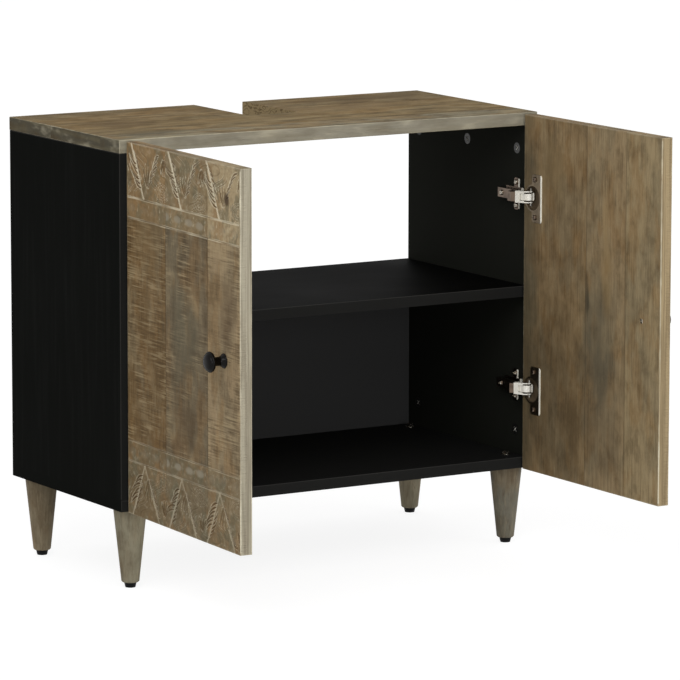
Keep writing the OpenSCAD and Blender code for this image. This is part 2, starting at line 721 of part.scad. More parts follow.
// Screw that holds the knob from inside the door, its head in a counterbore
module knob_screw(side) {
    reach_out = door_t - knob_sink + knob_bore - past;
    color([0.72, 0.71, 0.68]) on_door(side) translate([door_w - knob_inset, -knob_sink, knob_z])
        rotate([-90, 0, 0]) {
            pan_head(knob_head_r, head_h);
            translate([0, 0, -reach_out]) cylinder(h = reach_out, r = knob_screw_r);
        }
}

top_panel();
side_panel("left");  // left_side_panel
side_panel("right");  // right_side_panel
bottom_panel();
shelf();
back_panel();
leg(-1, leg_rows[0]);  // front_left_leg
leg(1, leg_rows[0]);  // front_right_leg
leg(-1, leg_rows[1]);  // rear_left_leg
leg(1, leg_rows[1]);  // rear_right_leg
foot_glides();
leg_bolts();
cam_locks();
cam_bolts();
carcass_dowels();
shelf_dowels();
back_panel_screws();
for (side = ["left", "right"]) {
    for (i = [0, 1]) {
        name = str(side, "_", ends[i], "_");
        mounting_plate(side, hinge_heights[i]);
        hinge_arm(side, hinge_heights[i]);
        outer_link(side, hinge_heights[i]);
        inner_link(side, hinge_heights[i]);
        hinge_cup(side, hinge_heights[i]);
    }
    plate_screws(side);
    arm_screws(side);
    arm_pins(side);
    door(side);
    cup_pins(side);
    cup_screws(side);
    knob(side);
    knob_screw(side);
}
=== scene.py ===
"""Looks of a sink base cabinet: planked top, carved doors, black boards, hinges and studio."""

import logging
import math
from dataclasses import dataclass, replace
from enum import Enum, IntEnum

import bpy
import numpy as np
from mathutils import Euler, Matrix, Vector
from mathutils.geometry import tessellate_polygon


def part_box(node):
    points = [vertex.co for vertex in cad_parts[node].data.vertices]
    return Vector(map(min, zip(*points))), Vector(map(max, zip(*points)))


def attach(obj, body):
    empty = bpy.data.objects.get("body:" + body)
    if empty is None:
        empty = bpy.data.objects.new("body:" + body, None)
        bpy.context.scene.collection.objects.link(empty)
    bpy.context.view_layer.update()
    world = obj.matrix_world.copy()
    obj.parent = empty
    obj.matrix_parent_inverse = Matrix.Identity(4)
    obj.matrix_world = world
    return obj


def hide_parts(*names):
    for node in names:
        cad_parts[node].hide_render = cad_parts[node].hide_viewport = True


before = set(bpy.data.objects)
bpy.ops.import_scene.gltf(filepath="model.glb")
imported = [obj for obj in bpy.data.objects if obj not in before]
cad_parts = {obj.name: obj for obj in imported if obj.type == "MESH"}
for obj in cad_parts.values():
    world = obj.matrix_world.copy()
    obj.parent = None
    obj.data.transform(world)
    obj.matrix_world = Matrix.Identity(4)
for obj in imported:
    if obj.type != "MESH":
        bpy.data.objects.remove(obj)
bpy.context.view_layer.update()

MM = 0.001
log = logging.getLogger("cabinet")

Colour = tuple[float, float, float]
Pair = tuple[float, float]
Field = np.ndarray
Socket = bpy.types.NodeSocket
Paint = Colour | Socket


def linear(level: float) -> float:
    """Turns one channel written in 0 to 1 into the linear value that shaders take."""
    return level / 12.92 if level <= 0.04045 else ((level + 0.055) / 1.055) ** 2.4


def srgb(red: int, green: int, blue: int) -> Colour:
    """Turns a colour written in 0 to 255 into the linear values that shaders take."""
    return linear(red / 255), linear(green / 255), linear(blue / 255)


class Axis(IntEnum):
    """A direction of a piece's own frame."""

    X = 0
    Y = 1
    Z = 2


class Side(Enum):
    """The side of the cabinet that a door hangs on."""

    LEFT = "left"
    RIGHT = "right"

    @property
    def hand(self) -> int:
        """Plus one where a door's own X runs away from its hinges, minus one where it runs back."""
        return 1 if self is Side.LEFT else -1


class Value:
    """A number that varies over a surface, with operators that add Math nodes."""

    def __init__(self, recipe: "Recipe", socket: Socket) -> None:
        """Wraps one output socket of a recipe."""
        self.recipe = recipe
        self.socket = socket

    def __add__(self, other: "Number") -> "Value":
        """This value plus another."""
        return self.recipe.maths("ADD", self, other)

    def __sub__(self, other: "Number") -> "Value":
        """This value less another."""
        return self.recipe.maths("SUBTRACT", self, other)

    def __rsub__(self, other: float) -> "Value":
        """A number less this value."""
        return self.recipe.maths("SUBTRACT", other, self)

    def __mul__(self, other: "Number") -> "Value":
        """This value times another."""
        return self.recipe.maths("MULTIPLY", self, other)

    def __truediv__(self, other: "Number") -> "Value":
        """This value over another."""
        return self.recipe.maths("DIVIDE", self, other)

    def __pow__(self, power: float) -> "Value":
        """This value to a power."""
        return self.recipe.maths("POWER", self, power)

    def __abs__(self) -> "Value":
        """The size of this value."""
        return self.recipe.maths("ABSOLUTE", self)

    __radd__ = __add__
    __rmul__ = __mul__

    def least(self, other: "Number") -> "Value":
        """The smaller of this value and another."""
        return self.recipe.maths("MINIMUM", self, other)

    def most(self, other: "Number") -> "Value":
        """The larger of this value and another."""
        return self.recipe.maths("MAXIMUM", self, other)

    def fraction(self) -> "Value":
        """What is left of this value past its whole number."""
        return self.recipe.maths("FRACT", self)

    def over(self, edge: float) -> "Value":
        """One where this value is over an edge, and zero elsewhere."""
        return self.recipe.maths("GREATER_THAN", self, edge)

    def rise(self, low: float, high: float) -> "Value":
        """Makes a soft step, which falls where high is below low.

        Args:
            low: Where it is zero.
            high: Where it is one.

        Returns:
            The step.
        """
        inputs = {"Value": self, "From Min": low, "From Max": high}
        smooth = {"interpolation_type": "SMOOTHSTEP"}
        node = self.recipe.node("ShaderNodeMapRange", smooth, inputs)
        return Value(self.recipe, node.outputs["Result"])


Number = Value | float
Place = tuple[Value, Value, Value]


class Recipe:
    """A material or world in the making: its node tree and the calls that add nodes to it."""

    def __init__(self, owner: bpy.types.Material | bpy.types.World) -> None:
        """Empties the owner's node tree.

        Args:
            owner: The material or world.
        """
        self.owner = owner
        owner.use_nodes = True
        self.tree = owner.node_tree
        self.tree.nodes.clear()

    @classmethod
    def material(cls, name: str) -> "Recipe":
        """Starts a new material of that name."""
        return cls(bpy.data.materials.new(name))

    def node(
        self, kind: str, settings: dict | None = None, inputs: dict | None = None
    ) -> bpy.types.Node:
        """Adds one node.

        Args:
            kind: The node's type.
            settings: Its properties, set before its sockets.
            inputs: Values, links or numbers for its input sockets, by identifier.

        Returns:
            The new node.
        """
        node = self.tree.nodes.new(kind)
        for name, setting in (settings or {}).items():
            setattr(node, name, setting)
        for name, given in (inputs or {}).items():
            socket = next(s for s in node.inputs if s.identifier == name)
            if isinstance(given, Value):
                given = given.socket
            if isinstance(given, Socket):
                self.tree.links.new(given, socket)
            elif isinstance(given, tuple) and socket.type == "RGBA":
                socket.default_value = (*given, 1.0)
            else:
                socket.default_value = given
        return node

    def maths(self, operation: str, *terms: Number) -> Value:
        """Adds a Math node.

        Args:
            operation: The node's operation.
            terms: Its one or two operands.

        Returns:
            The result.
        """
        inputs = dict(zip(("Value", "Value_001"), terms))
        return Value(self, self.node("ShaderNodeMath", {"operation": operation}, inputs).outputs[0])

    def point(self) -> Socket:
        """The point on the piece, in metres of the piece's own frame."""
        return self.node("ShaderNodeTexCoord").outputs["Object"]

    def place(self) -> Place:
        """The point's own coordinates on the piece, in metres."""
        return self.parts(self.point())

    def facing(self) -> Place:
        """How far the surface faces along each of the piece's axes, either way."""
        x, y, z = self.parts(self.node("ShaderNodeTexCoord").outputs["Normal"])
        return abs(x), abs(y), abs(z)

    def parts(self, vector: Socket) -> Place:
        """A vector's three numbers."""
        split = self.node("ShaderNodeSeparateXYZ", inputs={"Vector": vector})
        return tuple(Value(self, part) for part in split.outputs)

    def joined(self, x: Number, y: Number, z: Number) -> Socket:
        """A vector made of three numbers."""
        return self.node("ShaderNodeCombineXYZ", inputs={"X": x, "Y": y, "Z": z}).outputs[0]

    def attribute(self, name: str) -> Value:
        """A number that the mesh stores under that name."""
        node = self.node("ShaderNodeAttribute", {"attribute_name": name})
        return Value(self, node.outputs["Fac"])

    def noise(
        self, at: Socket, scale: Colour, detail: float = 3.0, rough: float = 0.55
    ) -> Value:
        """Cloudy noise, stretched along the piece.

        Args:
            at: The point.
            scale: Blotches per metre along each axis.
            detail: How many finer layers it has.
            rough: How strong the finer layers are.

        Returns:
            A value around one half.
        """
        sized = self.node(
            "ShaderNodeVectorMath", {"operation": "MULTIPLY"}, {"Vector": at, "Vector_001": scale}
        )
        inputs = {"Vector": sized.outputs[0], "Scale": 1.0, "Detail": detail, "Roughness": rough}
        return Value(self, self.node("ShaderNodeTexNoise", inputs=inputs).outputs[0])

    def lay(self, colour: Paint, *coats: tuple[Number, Paint]) -> Paint:
        """Lays tones over a colour, one on the other.

        Args:
            colour: What they lie on.
            coats: How much of each tone shows, and the tone.

        Returns:
            The colour with all of them.
        """
        for share, tone in coats:
            inputs = {"Factor_Float": share, "A_Color": colour, "B_Color": tone}
            node = self.node("ShaderNodeMix", {"data_type": "RGBA"}, inputs)
            colour = next(s for s in node.outputs if s.identifier == "Result_Color")
        return colour

    def bump(self, height: Value, depth: float, under: Socket | None = None) -> Socket:
        """A Bump node.

        Args:
            height: Zero to one.
            depth: The height in metres that one stands for.
            under: A normal to add to.

        Returns:
            The normal.
        """
        inputs = {"Strength": 1.0, "Distance": depth, "Height": height}
        if under is not None:
            inputs["Normal"] = under
        return self.node("ShaderNodeBump", inputs=inputs).outputs["Normal"]

    def finish(self, **surface: object) -> bpy.types.Material:
        """Adds the surface shader and its output.

        Args:
            surface: Sockets of the Principled shader, with underscores for spaces.

        Returns:
            The finished material.
        """
        inputs = {name.replace("_", " "): given for name, given in surface.items()}
        shader = self.node("ShaderNodeBsdfPrincipled", inputs=inputs)
        self.node("ShaderNodeOutputMaterial", inputs={"Surface": shader.outputs[0]})
        return self.owner

    def whitened(self, plain: bpy.types.Node, white: bpy.types.Node, share: float) -> Socket:
        """Shows a white shader to the camera, to reflections and through glass.

        Args:
            plain: The shader that lights the object.
            white: The shader that is seen.
            share: How much of it.

        Returns:
            The mixed shader.
        """
        rays = self.node("ShaderNodeLightPath").outputs
        camera, glossy, through = (
            Value(self, rays[f"Is {kind} Ray"]) for kind in ("Camera", "Glossy", "Transmission")
        )
        seen = camera.most(glossy).most(through) * share
        inputs = {"Fac": seen, "Shader": plain.outputs[0], "Shader_001": white.outputs[0]}
        return self.node("ShaderNodeMixShader", inputs=inputs).outputs[0]


@dataclass(frozen=True)
class Box:
    """The space that a piece fills in its own frame, in metres."""

    low: tuple[float, float, float]
    high: tuple[float, float, float]

    @classmethod
    def of(cls, node: str) -> "Box":
        """The box of a frame node."""
        low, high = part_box(node)
        return cls(tuple(low), tuple(high))

    def edge_distance(self, place: Place) -> Value:
        """How far a surface point lies from the nearest edge of the box, in metres.

        Args:
            place: The point's coordinates.

        Returns:
            The middle one of its distances from the three pairs of faces.
        """
        x, y, z = (
            (high - low) / 2 - abs(at - (low + high) / 2)
            for at, low, high in zip(place, self.low, self.high)
        )
        return x + y + z - x.least(y).least(z) - x.most(y).most(z)


@dataclass(frozen=True)
class Grain:
    """How a piece's wood runs: along one axis, in planks side by side across another."""

    along: Axis
    across: Axis
    seams: tuple[float, ...] = ()
    mirrored: bool = False

    def point(self, place: Place) -> tuple[Value, Value, Value, Value]:
        """The point as the wood sees it.

        Args:
            place: The point's coordinates on the piece.

        Returns:
            The distance along the grain, across it, through it, and the plank's number.
        """
        across = place[self.across] * (-1.0 if self.mirrored else 1.0)
        plank = sum((across.over(seam) for seam in self.seams), across * 0.0)
        return place[self.along], across, place[3 - self.along - self.across], plank


class Wood:
    """A wooden surface in the making: its point as the grain sees it, and its colour so far."""

    plank_shift: Pair = (3.7, 1.3)

    def __init__(self, name: str, grain: Grain, box: Box) -> None:
        """Starts the material.

        Args:
            name: The material's name.
            grain: How the wood runs on the piece.
            box: The piece's own box.
        """
        self.recipe = Recipe.material(name)
        self.box = box
        self.place = self.recipe.place()
        self.facing = self.recipe.facing()
        self.along, self.across, self.through, self.plank = grain.point(self.place)
        on, aside = self.plank_shift
        self.spread = self.recipe.joined(
            self.along + self.plank * on, self.across + self.plank * aside, self.through
        )
        self.colour: Paint = (0.0, 0.0, 0.0)

    def noise(
        self, along: float, across: float, through: float, detail: float = 3.0, rough: float = 0.55
    ) -> Value:
        """Cloudy noise that starts anew on each plank.

        Args:
            along: Blotches per metre along the grain.
            across: Blotches per metre across it.
            through: Blotches per metre through the wood.
            detail: How many finer layers it has.
            rough: How strong the finer layers are.

        Returns:
            A value around one half.
        """
        return self.recipe.noise(self.spread, (along, across, through), detail, rough)

    def lay(self, *coats: tuple[Number, Paint]) -> None:
        """Lays tones over the colour so far, each with how much of it shows."""
        self.colour = self.recipe.lay(self.colour, *coats)

    def planks(self, tones: tuple[Colour, ...]) -> Paint:
        """Each plank's own tone, from the first to the last."""
        later = enumerate(tones[1:])
        return self.recipe.lay(tones[0], *((self.plank.over(n + 0.5), tone) for n, tone in later))


@dataclass(frozen=True)
class Patch:
    """A stain or a cloud in the wood: a ragged ellipse of its own colour, in metres."""

    along: float
    across: float
    length: float
    width: float
    colour: Colour
    share: float = 0.6

    def lay(self, wood: Wood, ragged: Value) -> None:
        """Lays the patch over the wood's colour.

        Args:
            wood: The surface.
            ragged: Noise that frays the patch's outline.
        """
        on = abs((wood.along - self.along) / self.length) ** 2.0
        aside = abs((wood.across - self.across) / self.width) ** 2.0
        mask = (on + aside + (ragged - 0.5) * 3.0).rise(1.7, -0.2)
        wood.lay((mask * self.share, self.colour))


@dataclass(frozen=True)
class Edges:
    """The weathered narrow faces of the top: their tones, and its notch, in metres.

    The notch is half as wide as its first number, and starts across the grain at its second.
    """

    side: Colour
    end: Colour
    notch: Pair


@dataclass(frozen=True)
class WoodFinish:
    """Greyed brown hardwood: planks, streaks, fibres, pores, a pale arris that is part wear and
    part painted highlight, and weathered edges.
    """

    name: str
    tones: tuple[Colour, ...]
    dark: Colour
    pale: Colour
    wash: Colour
    warm: Colour
    arris: Colour
    wash_share: float = 0.5
    warm_share: float = 0.3
    contrast: float = 1.0
    streak: float = 0.2
    figure: Pair = (1.0, 1.0)
    arris_width: float = 1.2 * MM
    arris_share: float = 0.6
    edge_share: float = 0.92
    roughness: float = 0.62
    sheen: float = 0.12
    relief: float = 0.35 * MM

    def material(
        self, grain: Grain, box: Box, patches: tuple[Patch, ...] = (), edges: Edges | None = None
    ) -> bpy.types.Material:
        """Builds the finish for one piece.

        Args:
            grain: How the wood runs on the piece.
            box: The piece's own box, for its edges.
            patches: Stains at places of their own.
            edges: The looks of its narrow faces, where they differ.

        Returns:
            The material.
        """
        wood = Wood(self.name, grain, box)
        wood.colour = wood.planks(self.tones)
        height = self._grain(wood)
        for patch in patches:
            patch.lay(wood, wood.noise(14.0, 50.0, 50.0))
        if edges is not None:
            self._edge(wood, Axis.X, edges.end, 0.4, edges.notch)
            self._edge(wood, Axis.Y, edges.side, 0.2, edges.notch)
        # The pale arris: part wear, part painted highlight on the edges.
        self._worn_and_highlit_arris(wood)
        return self._finished(wood, wood.recipe.bump(height, self.relief))

    def _grain(self, wood: Wood, force: Number = 1.0, lines: Number = 1.0) -> Value:
        """Lays clouds, mottling, streaks, fibres and pores over the planks' tones.

        Args:
            wood: The surface.
            force: How strongly the mottling shows.
            lines: How strongly the long streaks and the fibres show.

        Returns:
            The height of the grain's relief, zero to one.
        """
        length, width = self.figure
        grey, ruddy, mottle, streak, fibre = (
            wood.noise(along * length, across * width, across, detail, rough)
            for along, across, detail, rough in (
                (4.1, 11.0, 3.0, 0.6), (7.3, 19.0, 3.0, 0.6), (17.0, 27.0, 5.0, 0.66),
                (4.6, 70.0, 4.0, 0.62), (11.0, 230.0, 3.0, 0.65),
            )
        )
        pores = wood.noise(38.0, 900.0, 900.0, 1.0).rise(0.6, 0.72)
        force, lines = force * self.contrast, lines * self.streak
        fine = lines + force * 0.12
        wood.lay(
            (grey.rise(0.46, 0.58) * self.wash_share, self.wash),
            (ruddy.rise(0.5, 0.62) * self.warm_share, self.warm),
            (mottle.rise(0.52, 0.34) * (force * 0.5), self.dark),
            (mottle.rise(0.5, 0.64) * (force * 0.36), self.pale),
            (streak.rise(0.48, 0.34) * lines, self.dark),
            (streak.rise(0.54, 0.68) * lines, self.pale),
            (fibre.rise(0.52, 0.68) * fine, self.pale),
            (fibre.rise(0.48, 0.32) * fine, self.dark),
            (pores * 0.3, self.dark),
        )
        return fibre * 0.7 - pores * 0.5 + streak * 0.2

    def _edge(self, wood: Wood, axis: Axis, tone: Colour, dirt: float, notch: Pair) -> None:
        """Weathers the narrow faces that look along one axis; the notch's walls stay as sawn.

        Args:
            wood: The surface.
            axis: Where the faces look.
            tone: Their tone.
            dirt: How much of the dark shows on it.
            notch: Half the notch's width, and where it starts across the grain.
        """
        recipe = wood.recipe
        streak, cloud = wood.noise(9.0, 9.0, 120.0), wood.noise(15.0, 15.0, 40.0)
        swirl = (wood.noise(30.0, 30.0, 60.0) * 9.0).fraction()
        sawn = tuple(0.8 * channel for channel in self.pale)
        inside = wood.across.over(notch[1]) * (1.0 - abs(wood.along).over(notch[0]))
        edge = recipe.lay(
            tone,
            (streak.rise(0.56, 0.34) * 0.3, self.wash),
            (cloud.rise(0.5, 0.34) * dirt, self.dark),
            (cloud.rise(0.5, 0.66) * 0.4, self.arris),
            (inside, recipe.lay(sawn, (swirl.rise(0.55, 0.95) * 0.7, self.dark))),
        )
        wood.lay((wood.facing[axis].rise(0.45, 0.8) * self.edge_share, edge))

    def _worn_and_highlit_arris(self, wood: Wood, share: Number = 1.0) -> None:
        """Lays a thin pale line along the piece's edges, part wear and part painted highlight,
        brighter in some places.

        Args:
            wood: The surface.
            share: How much of the line shows.
        """
        ragged, broad = wood.noise(60.0, 60.0, 60.0, 2.0), wood.noise(7.0, 7.0, 7.0, 2.0)
        near = wood.box.edge_distance(wood.place) - (ragged - 0.5) * self.arris_width
        worn_and_highlit = near.rise(self.arris_width, self.arris_width * 0.3) * share
        wood.lay((worn_and_highlit * (broad.rise(0.3, 0.6) * self.arris_share + 0.12), self.arris))

    def _finished(self, wood: Wood, normal: Socket) -> bpy.types.Material:
        """Joins the colour, an uneven roughness and a relief in one shader.

        Args:
            wood: The surface.
            normal: The relief.

        Returns:
            The finished material.
        """
        rough = wood.noise(8.0, 80.0, 80.0, 2.0) * 0.2 + (self.roughness - 0.1)
        return wood.recipe.finish(
            Base_Color=wood.colour, Roughness=rough, Specular_IOR_Level=self.sheen, Normal=normal
        )


@dataclass(frozen=True)
class CarvedFinish(WoodFinish):
    """The doors' wood: rough-sawn and carved outside, planed inside, with pale sanded edges. The
    inner tones and the edge tones are also lightened as painted light, against the shade inside the
    cabinet and where the edges face the lamps.

    The pairs of lengths are where a change starts and ends: from the inner to the outer tones
    through the leaf, of a seam's dark line beside it, from the leaf's ends, and from the tones of
    the lower carved end to those of the upper one.
    """

    # Inner tones, lightened as painted light against the shade on the open doors' inner faces.
    inner: tuple[Colour, ...] = ()
    skin: Pair = (-7 * MM, -9 * MM)
    seam: Pair = (1.6 * MM, 0.4 * MM)
    tip: Pair = (5 * MM, 2 * MM)
    upper: Pair = (0.2, 0.4)
    saw_relief: float = 0.45 * MM
    rust: Colour = srgb(136, 106, 70)
    moss: Colour = srgb(102, 98, 78)
    bead: Colour = srgb(150, 142, 124)
    cut: Colour = srgb(224, 214, 188)
    # Painted shade for the carving's recesses.
    hollow_shade: Colour = srgb(84, 64, 40)
    band_high: tuple[Colour, ...] = (srgb(150, 124, 88), srgb(146, 128, 96), srgb(176, 158, 124))
    band_low: Colour = srgb(118, 104, 79)

    def door_material(
        self, grain: Grain, box: Box, patches: tuple[Patch, ...], edge: Colour
    ) -> bpy.types.Material:
        """Builds the finish of a door leaf.

        Args:
            grain: How the planks run.
            box: The leaf's own box.
            patches: Stains of the face that the photograph shows.
            edge: The tone of the narrow side faces: a pale sanded tone, partly painted light where
                they face the lamps.

        Returns:
            The material.
        """
        wood = Wood(self.name, grain, box)
        recipe = wood.recipe
        outside = wood.through.rise(*self.skin)
        # Inner tones on the planed inside, lightened as painted light; outer tones outside.
        wood.colour = recipe.lay(wood.planks(self.inner), (outside, wood.planks(self.tones)))
        height = self._grain(wood, outside * 0.08 + 0.7, 0.85 - outside * 0.6)
        waver = (wood.noise(20.0, 0.0, 0.0, 2.0) - 0.5) * (2 * MM)
        for seam in grain.seams:
            gap = abs(wood.across + waver - seam)
            wood.lay((gap.rise(*self.seam) * 0.4, self.dark))
        sawn = self._sawn(wood, outside * (1.0 - recipe.attribute("carved")))
        self._carved(wood)
        ragged = wood.noise(18.0, 40.0, 40.0)
        for patch in patches:
            patch.lay(wood, ragged)
        # The narrow side faces take the pale edge tone: sanded wood, partly painted light where
        # they face the lamps.
        streak = wood.noise(7.0, 380.0, 380.0)
        rubbed_and_lit_edge = recipe.lay(edge, (streak.rise(0.56, 0.38) * 0.38, self.dark))
        wood.lay((wood.facing[Axis.X].rise(0.5, 0.85) * self.edge_share, rubbed_and_lit_edge))
        low, high = box.low[Axis.Z], box.high[Axis.Z]
        half = (high - low) / 2
        ends = abs(wood.along - (low + half)).rise(half - self.tip[0], half - self.tip[1])
        # Pale arris along the leaf's edges, fainter at its ends: part wear, part painted highlight.
        self._worn_and_highlit_arris(wood, 1.3 - ends)
        grain_bump = recipe.bump(height, self.relief)
        return self._finished(wood, recipe.bump(sawn, self.saw_relief, grain_bump))

    def _sawn(self, wood: Wood, where: Value) -> Value:
        """Lays the short cross marks of a saw, some dark and some pale, in clusters.

        Args:
            wood: The surface.
            where: One on the sawn face.

        Returns:
            The marks' height, zero to one.
        """
        marks = wood.noise(520.0, 22.0, 22.0, 1.0, 0.5)
        swath = wood.noise(120.0, 9.0, 9.0, 2.0, 0.5)
        cluster = wood.noise(15.0, 20.0, 20.0, 2.0).rise(0.43, 0.57) * where
        wood.lay(
            (marks.rise(0.46, 0.36) * (cluster * 0.36 + where * 0.05), self.dark),
            (marks.rise(0.55, 0.64) * (cluster * 0.38 + where * 0.04), self.pale),
            (swath.rise(0.48, 0.36) * where * 0.12, self.dark),
        )
        return (marks * 0.65 + swath * 0.35).rise(0.38, 0.62) * where

    def _carved(self, wood: Wood) -> None:
        """Colours the carved ends: stained ground, painted shade in the recesses, ridges lightened
        by wear and by a painted highlight, and fresh cuts.

        Args:
            wood: The surface, whose mesh stores the carving's layers.
        """
        recipe = wood.recipe
        relief, carved, bead, ridge_wear_and_highlight, scored = (
            recipe.attribute(layer) for layer in ("relief", "carved", "bead", "ridge_wear_and_highlight", "scored")
        )
        upper = wood.along.rise(*self.upper)
        middle = wood.plank.over(0.5) * (1.0 - wood.plank.over(1.5))
        stain = wood.noise(22.0, 30.0, 30.0, 4.0, 0.65)
        moss = wood.noise(32.0, 36.0, 36.0, 4.0, 0.65)
        fleck = wood.noise(150.0, 110.0, 110.0, 3.0, 0.6)
        # The recesses get the hollow tone: painted shade where the cuts are deep.
        recess = relief.rise(0.1, 0.7) * bead.rise(0.2, 0.0)
        wood.lay(
            (carved * 0.55, recipe.lay(self.band_low, (upper, wood.planks(self.band_high)))),
            (carved * stain.rise(0.5, 0.62) * 0.5, self.rust),
            (carved * moss.rise(0.5, 0.6) * 0.55, self.moss),
            (carved * fleck.rise(0.5, 0.36) * 0.2, self.dark),
            (carved * fleck.rise(0.54, 0.66) * 0.1, self.cut),
            (bead.rise(0.05, 0.9) * (middle * 0.5 + 0.16), self.bead),
            (recess * carved * 0.7, self.hollow_shade),
            # Ridges take the pale cut tone: part wear, part painted highlight.
            (ridge_wear_and_highlight.rise(0.1, 0.5) * (upper * 0.26 + 0.24), self.cut),
            (scored, self.cut),
        )


@dataclass(frozen=True)
class BoardFinish:
    """Black laminated board: faint open grain, a soft sheen, a greyer edge and a pale line along it
    that is part wear and part painted highlight.
    """

    name: str
    face: Colour
    edge: Colour
    arris: Colour
    roughness: float = 0.6
    sheen: float = 0.0065
    relief: float = 0.05 * MM
    arris_from: Pair = (1.3 * MM, 0.3 * MM)
    plain_below: float = 2 * MM
    # A darker tone for the faces that look along the grain: painted shade where the lamps light
    # those ends.
    ends: Colour | None = None

    def material(self, along: Axis, box: Box, edge_axes: tuple[Axis, Axis]) -> bpy.types.Material:
        """Builds the finish for one board.

        Args:
            along: The way its printed grain runs.
            box: The board's box, for its edges.
            edge_axes: The axes that its narrow edges face.

        Returns:
            The material.
        """
        recipe = Recipe.material(self.name)
        point, place, facing = recipe.point(), recipe.place(), recipe.facing()
        scale = [130.0, 130.0, 130.0]
        scale[along] = 6.0
        fibre = recipe.noise(point, tuple(scale), 4.0, 0.6)
        cloud = recipe.noise(point, (5.0, 5.0, 5.0), 2.0)
        rim = facing[edge_axes[0]].most(facing[edge_axes[1]]).rise(0.5, 0.8)
        # A pale line along the board's edges: part wear, part painted highlight.
        rubbed_and_lit_edge = box.edge_distance(place).rise(*self.arris_from) * (cloud * 0.6 + 0.25)
        rubbed_and_lit_edge = rubbed_and_lit_edge * place[Axis.Z].over(box.low[Axis.Z] + self.plain_below)
        coats = [(fibre.rise(0.45, 0.75) * 0.16, self.edge), (rim * (cloud * 0.3 + 0.7), self.edge)]
        # The ends get their own darker tone, painted shade, instead of the pale edge line.
        if self.ends is not None:
            across = facing[along].rise(0.5, 0.8)
            coats.append((across, self.ends))
            rubbed_and_lit_edge = rubbed_and_lit_edge * (1.0 - across)
        return recipe.finish(
            Base_Color=recipe.lay(self.face, *coats, (rubbed_and_lit_edge, self.arris)),
            Roughness=cloud * 0.2 + (self.roughness - 0.1),
            Specular_IOR_Level=self.sheen,
            Normal=recipe.bump(fibre, self.relief),
        )


@dataclass(frozen=True)
class MetalFinish:
    """Pressed and plated steel, with rolling marks, dull patches, a painted highlight on a flange's
    rim and painted light inside a recess.
    """

    name: str
    base: Colour
    dull: Colour
    roughness: float = 0.24
    metallic: float = 1.0
    rim: Colour = srgb(250, 246, 232)
    # Painted light laid inside a recess: a glint on a cam's cross, light in a hinge cup.
    glow: Colour = srgb(98, 84, 66)
    fade: float = 0.6 * MM
    relief: float = 0.015 * MM

    def material(
        self, rim_from: float | None = None, bright_front: bool = False, deep: float | None = None
    ) -> bpy.types.Material:
        """Builds the finish.

        Args:
            rim_from: The depth in metres at which the rim's painted highlight starts, or none.
            bright_front: Whether the faces that look to the front get the same painted highlight.
            deep: How far from the middle plane the painted light inside a recess starts, or none.

        Returns:
            The material.
        """
        recipe = Recipe.material(self.name)
        point, place = recipe.point(), recipe.place()
        cloud = recipe.noise(point, (70.0, 70.0, 70.0))
        rolled = recipe.noise(point, (900.0, 900.0, 60.0), 2.0)
        colour = recipe.lay(self.base, (cloud.rise(0.4, 0.7) * 0.5, self.dull))
        metallic: Number = self.metallic
        # The rim and, where asked, the front-facing faces get a painted highlight instead of metal.
        if rim_from is not None:
            bright = place[Axis.Y].rise(rim_from, rim_from - self.fade)
            if bright_front:
                bright = bright.most(recipe.facing()[Axis.Y].rise(0.6, 0.9))
            colour = recipe.lay(colour, (bright, self.rim))
            metallic = 1.0 - bright
        # Painted light inside the recess, with no metal there.
        if deep is not None:
            inside = abs(place[Axis.X]).rise(deep, deep + self.fade)
            colour = recipe.lay(colour, (inside, self.glow))
            metallic = metallic * (1.0 - inside)
        return recipe.finish(
            Base_Color=colour, Metallic=metallic,
            Roughness=cloud * 0.18 + rolled * 0.1 + (self.roughness - 0.14),
            Normal=recipe.bump(rolled, self.relief),
        )


@dataclass(frozen=True)
class PlasticFinish:
    """Moulded or lacquered black, from a glossy knob to a dull glide."""

    name: str
    base: Colour
    scuff: Colour
    roughness: float
    sheen: float = 0.2
    coat: float = 0.0
    coat_roughness: float = 0.08
    relief: float = 0.02 * MM

    def material(self) -> bpy.types.Material:
        """Builds the finish.

        Returns:
            The material.
        """
        recipe = Recipe.material(self.name)
        point = recipe.point()
        cloud = recipe.noise(point, (120.0, 120.0, 120.0))
        speck = recipe.noise(point, (900.0, 900.0, 900.0), 2.0)
        return recipe.finish(
            Base_Color=recipe.lay(self.base, (cloud.rise(0.5, 0.75) * 0.5, self.scuff)),
            Roughness=cloud * 0.16 + (self.roughness - 0.08),
            Specular_IOR_Level=self.sheen,
            Coat_Weight=self.coat,
            Coat_Roughness=self.coat_roughness,
            Normal=recipe.bump(speck, self.relief),
        )


def mesh_object(name: str, points: list, faces: list, smooth_angle: float) -> bpy.types.Object:
    """Makes a mesh object and links it to the scene.

    Args:
        name: The object's name.
        points: Its vertices, in metres.
        faces: Its faces, as vertex numbers.
        smooth_angle: Edges sharper than this, in degrees, stay sharp.

    Returns:
        The object.
    """
    mesh = bpy.data.meshes.new(name)
    mesh.from_pydata(points, [], faces)
    mesh.validate()
    mesh.polygons.foreach_set("use_smooth", [True] * len(mesh.polygons))
    mesh.set_sharp_from_angle(angle=math.radians(smooth_angle))
    piece = bpy.data.objects.new(name, mesh)
    bpy.context.scene.collection.objects.link(piece)
    return piece


def wear_material(material: bpy.types.Material, *pieces: bpy.types.Object) -> None:
    """Puts one material on every face of some pieces.

    Args:
        material: The material.
        pieces: The pieces.
    """
    for piece in pieces:
        piece.data.materials.clear()
        piece.data.materials.append(material)


def dress(material: bpy.types.Material, *names: str) -> None:
    """Puts one material on every face of the frame's nodes of those names."""
    wear_material(material, *(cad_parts[name] for name in names))


def toward(foot: Pair, angle: float, far: float) -> Pair:
    """The point that lies so far from another, at an angle in radians."""
    return foot[0] + far * math.cos(angle), foot[1] + far * math.sin(angle)


